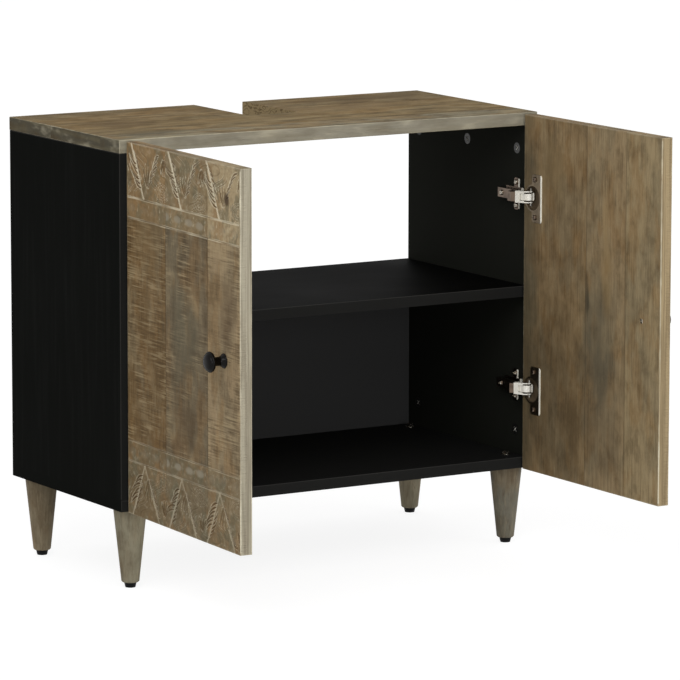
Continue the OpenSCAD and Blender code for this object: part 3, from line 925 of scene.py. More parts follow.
class CarvedFace:
    """A face being carved: how deep, in millimetres, and how freshly cut it is at its points."""

    def __init__(self, u: Field, v: Field, band: float, seed: int) -> None:
        """Starts plain.

        Args:
            u: Each point's distance from the hinged edge, in millimetres.
            v: Its height above the lower line of the band; the border lies below zero.
            band: The height of the band.
            seed: The start of the small differences.
        """
        self.u, self.v = u, v
        self.ground = (v > 2.0) & (v < band - 1.0)
        self.depth, self.fresh = np.zeros_like(u), np.zeros_like(u)
        self.rng = np.random.default_rng(seed)

    def cut(self, depth: Field) -> None:
        """Deepens the face where it isn't that deep yet."""
        self.depth = np.maximum(self.depth, depth)

    def line(self, start: Pair, end: Pair) -> tuple[Field, Field, Field]:
        """Measures from a straight line.

        Args:
            start: Its start.
            end: Its end.

        Returns:
            The share of the way along it, the distance from it, and where it runs past.
        """
        du, dv = end[0] - start[0], end[1] - start[1]
        length = math.hypot(du, dv)
        on, up = self.u - start[0], self.v - start[1]
        share = (on * du + up * dv) / length**2
        return share, (on * dv - up * du) / length, (share > 0) & (share < 1)

    def gouge(
        self, start: Pair, end: Pair, half: float, blunt: float, deep: float, bend: float = 0.0
    ) -> None:
        """Makes one leaf-shaped cut of the ground, pointed at both ends.

        Args:
            start: Its near end.
            end: Its far end.
            half: Half its greatest width.
            blunt: How full its ends are: the smaller, the fuller.
            deep: Its depth.
            bend: How far its middle bows aside.
        """
        share, aside, inside = self.line(start, end)
        held = np.clip(share, 0, 1)
        aside = aside + bend * 4 * held * (1 - held)
        outline = half * np.sin(np.pi * held**blunt) ** blunt + 1e-6
        self.cut(deep * np.clip(1 - (aside / outline) ** 2, 0, 1) * (inside & self.ground))


@dataclass
class Carving:
    """The pattern of a carved band, in millimetres: u along the door, v up to the door's end.

    Each row of barbs has the line that it leaves, zero for the left one, its heading in degrees,
    where it starts and ends along the line, and its shortest and longest cut. A fan has its foot,
    its heading and the length of its petals, and the eye has its middle and its size. A barb and
    a petal have half their width, how blunt they are, and their least and greatest depth.
    """

    width: float = 322.0
    band: float = 71.0
    border: float = 27.0
    repeat: float = 107.3
    first: float = 14.0
    apex: float = 36.0
    opening: float = 78.0
    groove: float = 1.15
    score: float = 1.0
    line_depth: float = 1.2
    fine_depth: float = 0.8
    rib_depth: Pair = (0.5, 0.9)
    waver: float = 0.35
    bead_pitch: float = 32.2
    bead_stray: Pair = (2.0, 1.5)
    bead_half_length: Pair = (11.0, 14.5)
    bead_half_height: Pair = (5.5, 7.5)
    nick_half: float = 0.9
    nick_reach: Pair = (5.0, 9.0)
    barb_step: float = 0.085
    barb_stray: float = 7.0
    barb_bow: Pair = (0.08, 0.16)
    barb: tuple[float, float, Pair] = (1.9, 0.7, (1.1, 1.8))
    petals: int = 4
    petal_from: float = 5.0
    petal_turn: float = 15.0
    petal_share: Pair = (0.9, 1.05)
    petal: tuple[float, float, Pair] = (2.9, 0.8, (0.9, 1.4))
    inner_fan: tuple[Pair, float, float] = ((-9.0, 12.0), 92.0, 38.0)
    outer_fan: tuple[Pair, float, float] = ((0.0, 63.0), -84.0, 30.0)
    eye: tuple[Pair, float] = ((-4.0, 15.0), 11.0)
    eye_rings: float = 3.0
    eye_squash: float = 0.6
    ring_half: float = 0.24
    barbs: tuple[tuple[int, float, Pair, Pair], ...] = (
        (0, 148.0, (0.38, 0.86), (20.0, 34.0)),
        (0, -48.0, (0.12, 0.5), (16.0, 26.0)),
        (1, 30.0, (0.22, 0.8), (11.0, 22.0)),
    )
    seed: int = 7

    def relief(self, u: Field, v: Field, fresh_cuts: Pair) -> tuple[Field, Field, Field]:
        """Cuts the whole pattern.

        Args:
            u: Distance from the hinged edge.
            v: Height above the lower line of the band; the border lies below zero.
            fresh_cuts: How bright the left and the right lines of the zigzag are.

        Returns:
            The depth, how freshly cut each point is and the border's scoops, zero to one.
        """
        face = CarvedFace(u, v, self.band, self.seed)
        self._waves(face)
        for start in np.arange(self.first - self.repeat, self.width + self.repeat, self.repeat):
            low = (start + self.apex, 1.0)
            tops = (start, self.band), (start + self.opening, self.band)
            within = start + (self.apex + self.opening) / 2
            between = start + (self.repeat + self.opening) / 2
            for line, heading, steps, reach in self.barbs:
                self._barbs(face, tops[line], low, heading, steps, reach)
            for middle, fan in ((within, self.inner_fan), (between, self.outer_fan)):
                (aside, up), heading, reach = fan
                self._fan(face, (middle + aside, up), heading, reach)
            (aside, up), radius = self.eye
            self._eye(face, (between + aside, up), radius)
            for top, strength in zip(tops, fresh_cuts):
                self._rib(face, top, low, strength)
        scoops = self._beads(face)
        self._border_line(face, 0.0, fresh_cuts[0])
        self._border_line(face, -self.border, 0.45 * fresh_cuts[0])
        return face.depth, face.fresh, scoops

    def _waves(self, face: CarvedFace) -> None:
        """Fills the ground with thin wavy cuts, denser in some places.

        Args:
            face: The face being carved.
        """
        u, v = face.u, face.v
        field = u / 19.0 + 0.9 * np.sin(v / 11.0 + u / 23.0) + 0.6 * np.sin(u / 15.0 - v / 9.0)
        line = np.abs(field - np.floor(field) - 0.5) / 0.16
        where = np.clip(0.9 + 1.3 * np.sin(u / 27.0 + 2.0) * np.cos(v / 19.0 + u / 40.0), 0, 1)
        face.cut(self.fine_depth * np.clip(1 - line, 0, 1) * where * face.ground)

    def _rib(self, face: CarvedFace, top: Pair, low: Pair, strength: float) -> None:
        """Cuts one long slanting line of the zigzag.

        Args:
            face: The face being carved.
            top: The line's upper end.
            low: Its lower end.
            strength: How deep and how fresh it is, up to one.
        """
        _, aside, inside = face.line(top, low)
        profile = np.clip(1.3 - np.abs(aside) / self.groove, 0, 1) * inside
        face.cut((self.rib_depth[0] + self.rib_depth[1] * strength) * profile)
        face.fresh = np.maximum(face.fresh, strength * profile)

    def _barbs(
        self, face: CarvedFace, top: Pair, low: Pair, heading: float, steps: Pair, reach: Pair
    ) -> None:
        """Cuts bowed leaves that leave a slanting line on one side, like a feather's barbs.

        Args:
            face: The face being carved.
            top: The line's upper end.
            low: Its lower end.
            heading: The way the cuts run, in degrees.
            steps: Where along the line the first and the last cut start, as shares.
            reach: The shortest and the longest cut.
        """
        draw, (half, blunt, depths) = face.rng.uniform, self.barb
        for step in np.arange(steps[0], steps[1], self.barb_step):
            foot = (top[0] + (low[0] - top[0]) * step, top[1] + (low[1] - top[1]) * step)
            angle = math.radians(heading + draw(-self.barb_stray, self.barb_stray))
            length = draw(*reach)
            bend = draw(*self.barb_bow) * length
            face.gouge(foot, toward(foot, angle, length), half, blunt, draw(*depths), bend)

    def _fan(self, face: CarvedFace, foot: Pair, heading: float, reach: float) -> None:
        """Cuts petals that spread from one foot.

        Args:
            face: The face being carved.
            foot: Where they meet.
            heading: The way the middle of the fan looks, in degrees.
            reach: The length of a petal.
        """
        draw, (half, blunt, depths) = face.rng.uniform, self.petal
        for number in range(self.petals):
            lean = (number - (self.petals - 1) / 2) * self.petal_turn
            angle = math.radians(heading + lean)
            length = reach * (1 - 0.05 * abs(lean) / 13.0) * draw(*self.petal_share)
            start, end = toward(foot, angle, self.petal_from), toward(foot, angle, length)
            face.gouge(start, end, half, blunt, draw(*depths))

    def _eye(self, face: CarvedFace, at: Pair, radius: float) -> None:
        """Cuts a round of rings inside one another.

        Args:
            face: The face being carved.
            at: The middle.
            radius: The outer ring's height from it.
        """
        far = np.hypot((face.u - at[0]) * self.eye_squash, face.v - at[1]) / radius
        turns = far * self.eye_rings
        rings = np.clip(1 - np.abs(turns - np.round(turns)) / self.ring_half, 0, 1)
        face.cut(self.fine_depth * rings * (far < 1.1) * face.ground)

    def _beads(self, face: CarvedFace) -> Field:
        """Cuts the border's row of long oval scoops, and the nicks between them.

        Args:
            face: The face being carved.

        Returns:
            The scoops alone, zero to one.
        """
        u, v, draw, half = face.u, face.v, face.rng.uniform, self.bead_pitch / 2
        scoops, (aside, up) = np.zeros_like(u), self.bead_stray
        for place in np.arange(half, self.width, self.bead_pitch):
            middle = -self.border / 2 + draw(-up, up)
            far = ((u - place - draw(-aside, aside)) / draw(*self.bead_half_length)) ** 2
            far = far + ((v - middle) / draw(*self.bead_half_height)) ** 2
            scoops = np.maximum(scoops, np.clip(1 - far, 0, 1))
            nick = np.abs(u - place - half - (v + self.border / 2) * 0.1) / self.nick_half
            tall = np.abs(v + self.border / 2) < draw(*self.nick_reach)
            face.cut(self.fine_depth * np.clip(1 - nick, 0, 1) * tall)
        face.cut(self.line_depth * scoops)
        return scoops

    def _border_line(self, face: CarvedFace, height: float, fresh: float) -> None:
        """Scores one long wavering line of the border, bright in some stretches.

        Args:
            face: The face being carved.
            height: Where it runs.
            fresh: How bright it is at most.
        """
        u = face.u
        gap = np.abs(face.v - height - self.waver * np.sin(u / 23.0 + height)) / self.score
        patchy = 0.5 + 0.6 * np.sin(u / 31.0 + height) * np.sin(u / 13.0 + 2 * height)
        face.cut(self.line_depth * np.clip(1 - gap, 0, 1))
        bright = fresh * np.clip(patchy, 0.08, 0.95) * np.clip(1.2 - gap, 0, 1)
        face.fresh = np.maximum(face.fresh, bright)


REST_ANGLES = {Side.LEFT: 92.8, Side.RIGHT: 90.7}


def door_axes(side: Side) -> tuple[Vector, Vector]:
    """Turns a door's own directions from shut to where the door is stored.

    Args:
        side: The door's side.

    Returns:
        Its own X, to the right when shut, and its own Y, which then looks into the cabinet.
    """
    turn, hand = math.radians(REST_ANGLES[side]), side.hand
    x_axis = Vector((math.cos(turn), -hand * math.sin(turn), 0))
    return x_axis, Vector((hand * math.sin(turn), math.cos(turn), 0))


@dataclass(frozen=True)
class Bore:
    """A blind bore in a leaf's inner face, in millimetres from the hinged edge and lower end."""

    inset: float
    height: float
    radius: float
    deep: float


@dataclass
class DoorLeaf:
    """One planked door leaf in its own frame: X from the hinges, Y = 0 on its inner face, Z up.

    Sizes are in millimetres, the seams are shares of the width, and fine and coarse are the steps
    of the mesh on the carved ends and between them. The fresh pairs say how bright the left and
    the right lines of the zigzag are on the upper and the lower end, and ridge_wear_and_highlight
    how strongly a ridge is lightened, part wear and part painted highlight. Edges sharper than the
    smooth angle, in degrees, stay sharp.
    """

    side: Side
    seams: tuple[float, ...]
    patches: tuple[Patch, ...]
    edge: Colour
    width: float = 322.0
    height: float = 490.0
    thick: float = 17.0
    easing: float = 1.5
    bores: tuple[Bore, ...] = (
        Bore(22.5, 112.5, 17.55, 13.2), Bore(278.0, 242.0, 4.05, 2.8),
        Bore(22.5, 377.5, 17.55, 13.2),
    )
    bore_steps: int = 64
    bore_margin: float = 1.0
    easing_steps: int = 4
    fine: float = 1.0
    coarse: float = 6.0
    margin: float = 3.0
    fade: float = 2.0
    seam_depth: float = 0.35
    seam_half: float = 1.1
    fresh_upper: Pair = (1.0, 0.12)
    fresh_lower: Pair = (0.42, 0.34)
    deepest: float = 2.0
    ridge_wear_and_highlight: float = 2.2
    smooth_angle: float = 40.0

    @property
    def node(self) -> str:
        """The name of the frame's node and body for this door."""
        return f"{self.side.value}_door"

    def matrix(self) -> Matrix:
        """Works out from the frame's box where the open leaf's own frame stands at rest.

        Returns:
            The leaf's place.
        """
        low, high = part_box(self.node)
        x_axis, y_axis = door_axes(self.side)
        half_width = x_axis * self.side.hand * self.width * MM / 2
        origin = (low + high) / 2 - half_width + y_axis * self.thick * MM / 2
        rows = Matrix((x_axis, y_axis, Vector((0, 0, 1)))).transposed().to_4x4()
        rows.translation = (origin.x, origin.y, low.z)
        return rows

    def _profile(self) -> Field:
        """Draws the leaf's outline from above.

        Returns:
            Its points from one end of the inner face round the outside to the other.
        """
        ease, turns = self.easing, np.linspace(0, math.pi / 2, self.easing_steps + 1)
        back = ease - self.thick
        half = [(ease - ease * math.sin(a), -ease + ease * math.cos(a)) for a in turns]
        half += [(ease - ease * math.cos(a), back - ease * math.sin(a)) for a in turns]
        plain = np.arange(2 * ease, self.width - 2 * ease + 0.01, self.fine)
        outer = [(w, -self.thick) for w in plain]
        return np.array(half + outer + [(self.width - w, y) for w, y in reversed(half)])

    def _rows(self, carved: float) -> Field:
        """Spaces the rows of the mesh: close together on the carved ends, wide apart between them.

        Args:
            carved: The height of a carved end.

        Returns:
            The rows' heights.
        """
        end = carved + self.margin
        low = np.arange(0, end, self.fine)
        middle = np.linspace(end, self.height - end, int((self.height - 2 * end) / self.coarse))
        return np.concatenate([low, middle, self.height - low[::-1]])

    def _depth(self, carving: Carving, w: Field, z: Field) -> list[Field]:
        """Carves both ends and scores the seams.

        Args:
            carving: The pattern of the ends.
            w: Each point's distance from the hinged edge.
            z: Its height.

        Returns:
            The depth, the fresh cuts and the border's scoops at each point of the outer face.
        """
        upper = carving.relief(w, z - (self.height - carving.band), self.fresh_upper)
        lower = carving.relief(w, carving.band - z, self.fresh_lower)
        depth, fresh, scoops = (np.where(z > self.height / 2, a, b) for a, b in zip(upper, lower))
        for seam in self.seams:
            gap = np.abs(w - seam * self.width) / self.seam_half
            depth = np.maximum(depth, self.seam_depth * np.clip(1 - gap, 0, 1))
        near, far = (np.clip(side / self.fade - 1, 0, 1) for side in (w, self.width - w))
        return [layer * near * far for layer in (depth, fresh, scoops)]

    def build(self, finish: CarvedFinish, carving: Carving) -> bpy.types.Object:
        """Makes the leaf, dresses it and lets it ride on its body.

        Args:
            finish: The doors' wood.
            carving: The pattern of the carved ends.

        Returns:
            The leaf.
        """
        carved, hand = carving.band + carving.border, self.side.hand
        profile, rows = self._profile(), self._rows(carved)
        w, z = np.meshgrid(profile[:, 0], rows)
        y = np.broadcast_to(profile[:, 1], w.shape)
        outer = y < -self.thick + 0.01
        depth, fresh, scoops = (layer * outer for layer in self._depth(carving, w, z))
        points = np.stack([w, y + depth, z], axis=-1).reshape(-1, 3).tolist()
        faces = self._close(points, len(profile), rows)
        points = [(x * hand * MM, y * MM, z * MM) for x, y, z in points]
        faces = [face[::hand] for face in faces]
        leaf = mesh_object(f"{self.node}_leaf", points, faces, self.smooth_angle)
        # Points above their neighbours make the ridge layer: part wear, part painted highlight.
        around = sum(np.roll(depth, step, axis) for step in (1, -1) for axis in (0, 1)) / 4
        self._store(leaf, {
            "relief": depth / self.deepest, "scored": fresh, "bead": scoops,
            "ridge_wear_and_highlight": np.clip((around - depth) * self.ridge_wear_and_highlight, 0, 1) * outer,
            "carved": ((z < carved) | (z > self.height - carved)) * outer * 1.0,
        })
        leaf.matrix_world = self.matrix()
        near, far = sorted((0.0, hand * self.width * MM))
        box = Box((near, -self.thick * MM, 0), (far, 0, self.height * MM))
        seams = tuple(share * self.width * MM for share in self.seams)
        grain = Grain(Axis.Z, Axis.X, seams, mirrored=self.side is Side.RIGHT)
        wear_material(finish.door_material(grain, box, self.patches, self.edge), leaf)
        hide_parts(self.node)
        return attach(leaf, self.node)

    @staticmethod
    def _store(leaf: bpy.types.Object, layers: dict[str, Field]) -> None:
        """Stores layers on the mesh's points; those that aren't on the outside's grid get zero.

        Args:
            leaf: The leaf.
            layers: A number for each point of the grid, by the layer's name.
        """
        for name, layer in layers.items():
            stored = np.zeros(len(leaf.data.vertices), np.float32)
            stored[: layer.size] = layer.reshape(-1)
            leaf.data.attributes.new(name, "FLOAT", "POINT").data.foreach_set("value", stored)

    def _close(self, points: list, across: int, rows: Field) -> list:
        """Makes the faces: the outside, the two ends and the inner face with its bores.

        Args:
            points: The points of the outside, row by row; the bores' points are added.
            across: Points in a row.
            rows: The rows' heights.

        Returns:
            The faces.
        """
        top, margin = len(rows) - 1, self.bore_margin
        first = (np.arange(top)[:, None] * across + np.arange(across - 1)).reshape(-1)
        faces = np.stack([first, first + 1, first + across + 1, first + across], axis=-1).tolist()
        faces.append(list(range(across))[::-1])
        faces.append(list(range(top * across, top * across + across)))
        row = 0
        while row < top:
            starts = (
                bore for bore in self.bores
                if rows[row + 1] > bore.height - bore.radius - margin > rows[row] - 1e-9
            )
            bore = next(starts, None)
            if bore is None:
                left, right = row * across, row * across + across - 1
                faces.append([left, left + across, right + across, right])
                row += 1
                continue
            above = bore.height + bore.radius + margin
            last = next(j for j in range(row + 1, top) if rows[j] > above)
            rim = [j * across for j in range(row, last + 1)]
            rim += [j * across + across - 1 for j in range(last, row - 1, -1)]
            self._bored_stretch(points, faces, rim, bore)
            row = last
        return faces

    def _bored_stretch(self, points: list, faces: list, rim: list[int], bore: Bore) -> None:
        """Fills a stretch of the inner face round one bore, and adds the bore's wall and floor.

        Args:
            points: The leaf's points, which the bore's are added to.
            faces: The leaf's faces, which the stretch's are added to.
            rim: The points round the stretch.
            bore: The bore.
        """
        middle, steps = (bore.inset, bore.height), self.bore_steps
        round_it = [toward(middle, 2 * math.pi * n / steps, bore.radius) for n in range(steps)]
        circle = [len(points) + n for n in range(steps)]
        floor = [number + steps for number in circle]
        points += [[x, 0.0, z] for x, z in round_it] + [[x, -bore.deep, z] for x, z in round_it]
        flat = rim + circle
        loops = [[Vector((points[n][0], points[n][2], 0)) for n in loop] for loop in (rim, circle)]
        for cell in tessellate_polygon(loops):
            face = [flat[n] for n in cell]
            a, b, c = (points[n] for n in face)
            turn = (b[0] - a[0]) * (c[2] - a[2]) - (b[2] - a[2]) * (c[0] - a[0])
            faces.append(face if turn < 0 else face[::-1])
        for n in range(steps):
            after = (n + 1) % steps
            faces.append([circle[n], floor[n], floor[after], circle[after]])
        faces.append(floor[::-1])


@dataclass
class Knob:
    """A turned knob on a door, in millimetres: flared base, slim neck and a low domed head.

    The bell, the lip and the dome of the head start at shares of the knob's length. Edges sharper
    than the smooth angle, in degrees, stay sharp.
    """

    side: Side
    head: float = 13.5
    neck: float = 5.7
    base: float = 9.5
    foot: float = 1.8
    flare: float = 6.2
    lip: float = 1.8
    length: float = 27.0
    bell_at: float = 0.47
    lip_at: float = 0.76
    dome_at: float = 0.83
    profile_steps: int = 8
    steps: int = 96
    smooth_angle: float = 50.0

    def _profile(self) -> list[Pair]:
        """Draws the knob's outline from the door's face to the crown.

        Returns:
            Its points, as radius and height.
        """
        neck, length, steps = self.neck, self.length, self.profile_steps
        rim, bell, dome = self.base - 0.5, self.head - 1.0 - neck, self.head - self.lip
        quarter = [step / steps * math.pi / 2 for step in range(1, steps + 1)]
        points = [(self.base - 0.4, 0.0), (self.base, 0.5), (self.base, 1.2), (rim, self.foot)]
        points += [
            (rim - (rim - neck) * math.sin(turn), self.foot + self.flare * number / steps)
            for number, turn in enumerate(quarter, 1)
        ]
        points.append((neck, length * self.bell_at))
        points += [
            (neck + bell * (1 - math.cos(turn)), length * (self.bell_at + 0.2 * math.sin(turn)))
            for turn in quarter
        ]
        for degrees in range(-60, 91, 25):
            turn = math.radians(degrees)
            lip = dome + self.lip * math.cos(turn)
            points.append((lip, length * self.lip_at + 2.0 * math.sin(turn)))
        rest = 1 - self.dome_at
        return points + [
            (dome * math.cos(turn) ** 0.8, length * (self.dome_at + rest * math.sin(turn)))
            for turn in quarter[:-1]
        ]

    def build(self, finish: PlasticFinish) -> bpy.types.Object:
        """Turns the knob, stands it on its door and lets it ride.

        Args:
            finish: Its lacquer.

        Returns:
            The knob.
        """
        node, steps, outline = f"{self.side.value}_knob", self.steps, self._profile()
        turns = [2 * math.pi * step / steps for step in range(steps)]
        points = [(r * math.cos(a), r * math.sin(a), h) for r, h in outline for a in turns]
        crown = len(points) - steps
        points.append((0, 0, self.length))
        ring = [(step, (step + 1) % steps) for step in range(steps)]
        faces = [
            (low + a, low + b, low + steps + b, low + steps + a)
            for low in range(0, crown, steps) for a, b in ring
        ]
        faces.append(tuple(range(steps))[::-1])
        faces += [(crown + a, crown + b, crown + steps) for a, b in ring]
        stand = self._stand(node)
        points = [tuple(stand @ (Vector(point) * MM)) for point in points]
        knob = mesh_object(f"{node}_turned", points, faces, self.smooth_angle)
        wear_material(finish.material(), knob)
        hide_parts(node)
        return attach(knob, f"{self.side.value}_door")

    def _stand(self, node: str) -> Matrix:
        """Works out where the knob stands.

        Args:
            node: The frame's knob.

        Returns:
            Its place, with its own Z along the frame's knob, away from the door.
        """
        out = -door_axes(self.side)[1]
        low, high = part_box(node)
        turned = out.to_track_quat("Z", "Y").to_matrix().to_4x4()
        turned.translation = (low + high) / 2 - out * self.length * MM / 2
        return turned


DOOR_SEAMS = {Side.LEFT: (0.35, 0.72), Side.RIGHT: (0.466, 0.75)}
# Pale edge tones: sanded wood, partly painted light on the edges that face the lamps.
DOOR_EDGES = {Side.LEFT: srgb(166, 159, 140), Side.RIGHT: srgb(164, 145, 112)}
DOOR_PATCHES = {
    Side.LEFT: (
        Patch(0.262, 0.162, 0.060, 0.040, srgb(98, 94, 78), 0.6),
        Patch(0.150, 0.170, 0.040, 0.030, srgb(88, 72, 52), 0.5),
        Patch(0.300, 0.285, 0.050, 0.022, srgb(96, 78, 58), 0.55),
        Patch(0.380, 0.060, 0.060, 0.035, srgb(118, 98, 68), 0.5),
        Patch(0.200, 0.110, 0.110, 0.110, srgb(80, 64, 44), 0.22),
        Patch(0.447, 0.284, 0.007, 0.007, srgb(62, 46, 32), 0.85),
    ),
    Side.RIGHT: (
        Patch(0.240, 0.010, 0.300, 0.022, srgb(84, 80, 64), 0.6),
        Patch(0.195, 0.178, 0.080, 0.034, srgb(92, 88, 74), 0.6),
        Patch(0.110, 0.080, 0.110, 0.090, srgb(78, 70, 54), 0.4),
        Patch(0.100, 0.190, 0.100, 0.045, srgb(88, 82, 68), 0.4),
        Patch(0.262, 0.153, 0.030, 0.005, srgb(62, 58, 48), 0.75),
        Patch(0.375, 0.195, 0.040, 0.008, srgb(158, 136, 100), 0.6),
        Patch(0.290, 0.200, 0.060, 0.012, srgb(142, 118, 80), 0.5),
        Patch(0.420, 0.070, 0.050, 0.030, srgb(134, 114, 80), 0.45),
        Patch(0.080, 0.120, 0.050, 0.020, srgb(84, 68, 46), 0.5),
    ),
}
TOP_PATCHES = (
    Patch(-0.230, 0.170, 0.080, 0.045, srgb(94, 76, 50), 0.55),
    Patch(-0.080, 0.130, 0.090, 0.030, srgb(132, 112, 78), 0.5),
    Patch(0.200, 0.270, 0.110, 0.030, srgb(92, 74, 50), 0.6),
    Patch(0.120, 0.180, 0.120, 0.030, srgb(134, 112, 80), 0.5),
    Patch(-0.250, 0.060, 0.050, 0.030, srgb(92, 84, 66), 0.6),
)
TOP_WOOD = WoodFinish(
    "top_wood", (srgb(136, 129, 108), srgb(130, 110, 76), srgb(122, 102, 70)),
    dark=srgb(70, 54, 33), pale=srgb(166, 146, 110), wash=srgb(116, 108, 84),
    warm=srgb(136, 106, 62), arris=srgb(196, 188, 164), wash_share=0.4, warm_share=0.5,
    figure=(1.15, 1.7), contrast=1.2, streak=0.4, sheen=0.012,
)
LEG_TONES = {
    "front_left": srgb(148, 139, 115), "front_right": srgb(106, 102, 90),
    "rear_left": srgb(126, 106, 78), "rear_right": srgb(150, 141, 118),
}
LEG_WOOD = WoodFinish(
    "leg_wood", (), dark=srgb(76, 60, 40), pale=srgb(152, 140, 116), wash=srgb(108, 106, 92),
    warm=srgb(124, 100, 66), arris=srgb(140, 130, 106), arris_share=0.2, contrast=0.8,
)
DOOR_WOOD = CarvedFinish(
    "door_wood", (srgb(112, 90, 60), srgb(114, 101, 80), srgb(152, 132, 102)),
    dark=srgb(64, 49, 31), pale=srgb(172, 154, 120), wash=srgb(108, 101, 82),
    warm=srgb(132, 100, 60), arris=srgb(214, 206, 182), wash_share=0.36, warm_share=0.4,
    roughness=0.7, sheen=0.06, relief=0.3 * MM, figure=(1.5, 1.35), arris_width=1.8 * MM,
    arris_share=0.55,
    # Inner tones lightened as painted light against the shade inside the cabinet.
    inner=(srgb(138, 116, 84), srgb(146, 126, 95), srgb(150, 132, 100)),
)
DOWEL_WOOD = WoodFinish(
    "dowel_wood", (srgb(196, 164, 118),), dark=srgb(160, 124, 80), pale=srgb(214, 186, 142),
    wash=srgb(190, 160, 118), warm=srgb(200, 160, 106), arris=srgb(206, 176, 132),
)
BLACK_BOARD = BoardFinish("black_board", srgb(17, 17, 16), srgb(36, 36, 35), srgb(64, 63, 61))
BACK_BOARD = BoardFinish(
    "back_board", srgb(60, 60, 60), srgb(62, 62, 62), srgb(64, 64, 64), roughness=0.7
)
UPRIGHT, FLAT = (Axis.Z, (Axis.Y, Axis.Z)), (Axis.X, (Axis.X, Axis.Y))
# One black board in copies of different tone: painted shade on the left side panel, the shelf and
# the bottom panel's ends, which the lamps light more; the right side panel and the bottom panel's
# face are lighter.
BOARDS = {
    "left_side_panel": (replace(BLACK_BOARD, face=srgb(13, 14, 12)), *UPRIGHT),
    "right_side_panel": (replace(BLACK_BOARD, face=srgb(33, 34, 30)), *UPRIGHT),
    "bottom_panel": (replace(BLACK_BOARD, face=srgb(30, 30, 29), ends=srgb(13, 14, 12)), *FLAT),
    "shelf": (replace(BLACK_BOARD, face=srgb(7, 7, 6)), *FLAT),
    "back_panel": (BACK_BOARD, Axis.X, (Axis.X, Axis.Z)),
}
# Nickel painted lit: the links look bright whatever they reflect.
LIT_LINK_NICKEL = MetalFinish(
    "hinge_nickel", srgb(253, 250, 240), srgb(236, 230, 214), 0.4, metallic=0.25
)
# Nickel painted shaded, for the cups.
SHADED_NICKEL = MetalFinish(
    "hinge_nickel_shaded", srgb(120, 106, 86), srgb(74, 64, 50), 0.42, metallic=0.5
)
# Nickel painted dark as shade, for the arms, plates and cup screws.
SHADED_DARK_NICKEL = MetalFinish("hinge_nickel_painted_shade", srgb(108, 94, 82), srgb(56, 46, 40), 0.3)
PIN_STEEL = MetalFinish("pin_steel", srgb(176, 174, 168), srgb(140, 136, 128), 0.3)
SCREW_STEEL = MetalFinish("screw_steel", srgb(198, 192, 180), srgb(120, 112, 100))
# The glow tone paints a bright glint on each cam's recessed cross.
CAM_ZINC = MetalFinish(
    "cam_metal", srgb(46, 46, 44), srgb(22, 22, 21), 0.3, metallic=0.6, glow=srgb(222, 220, 212)
)
KNOB_BLACK = PlasticFinish("knob_gloss", srgb(7, 5, 3), srgb(16, 12, 8), 0.24, 0.02, 0.2)
GLIDE_BLACK = PlasticFinish("glide_plastic", srgb(14, 14, 14), srgb(34, 33, 31), 0.55, 0.1)


@dataclass
class Carcass:
    """Top, boards, legs and their fittings: frame nodes that keep their shape and get a finish.

    The seams and the notch are measured in from the top's front edge, in metres.
    """

    top_seams: Pair = (52 * MM, 190 * MM)
    notch_half: float = 42 * MM
    notch_from: float = 150 * MM
    top_side: Colour = srgb(143, 138, 123)
    top_end: Colour = srgb(75, 72, 62)
    cam_face: float = 0.3 * MM

    def dress(self) -> None:
        """Gives every node of the carcass its finish."""
        top = Box.of("top_panel")
        front = top.low[Axis.Y]
        edges = Edges(self.top_side, self.top_end, (self.notch_half, front + self.notch_from))
        grain = Grain(Axis.X, Axis.Y, tuple(front + seam for seam in self.top_seams))
        dress(TOP_WOOD.material(grain, top, TOP_PATCHES, edges), "top_panel")
        for name, (finish, along, narrow) in BOARDS.items():
            dress(finish.material(along, Box.of(name), narrow), name)
        turned = Grain(Axis.Z, Axis.X)
        for place, tone in LEG_TONES.items():
            leg = f"{place}_leg"
            dress(replace(LEG_WOOD, tones=(tone,)).material(turned, Box.of(leg)), leg)
        for name in ("carcass_dowels", "shelf_dowels"):
            dress(DOWEL_WOOD.material(turned, Box.of(name)), name)
        dress(GLIDE_BLACK.material(), "foot_glides")
        # The cams' recessed crosses get a painted glint.
        inner = Box.of("shelf").high[Axis.X]
        dress(CAM_ZINC.material(deep=inner + self.cam_face), "cam_locks")
        dress(SCREW_STEEL.material(), "leg_bolts", "cam_bolts", "back_panel_screws")


@dataclass
class Hinges:
    """The four cup hinges: frame nodes in nickel, with steel pins and screws. The nickel comes in
    lit and shaded copies, with painted highlights on the rims and painted light inside the cups.
    """

    ends: tuple[str, ...] = ("lower", "upper")
    rim: float = 2.6 * MM
    flange: float = 2.6 * MM

    def dress(self) -> None:
        """Gives every node of the hinges its finish."""
        # Lit and shaded copies of one nickel: the links painted lit, the arms, plates and cup
        # screws painted shade.
        dark, bright = SHADED_DARK_NICKEL.material(), LIT_LINK_NICKEL.material()
        steel, screws = PIN_STEEL.material(), SCREW_STEEL.material()
        for side in Side:
            hand = side.value
            for end in self.ends:
                plate, cup = f"{hand}_{end}_mounting_plate", f"{hand}_{end}_hinge_cup"
                dress(dark, f"{hand}_{end}_hinge_arm")
                dress(bright, f"{hand}_{end}_outer_link", f"{hand}_{end}_inner_link")
                # The plate's front rim and front-facing faces get a painted highlight.
                rim = Box.of(plate).low[Axis.Y] + self.rim
                dress(SHADED_DARK_NICKEL.material(rim, bright_front=True), plate)
                # The cup gets a painted highlight on its rim and painted light inside its recess.
                box = Box.of(cup)
                outer = box.low if side is Side.RIGHT else box.high
                deep = abs(outer[Axis.X]) + self.flange
                dress(SHADED_NICKEL.material(box.low[Axis.Y] + self.rim, deep=deep), cup)
            dress(dark, f"{hand}_cup_screws")
            dress(steel, f"{hand}_arm_pins", f"{hand}_cup_pins")
            dress(screws, f"{hand}_plate_screws", f"{hand}_arm_screws", f"{hand}_knob_screw")


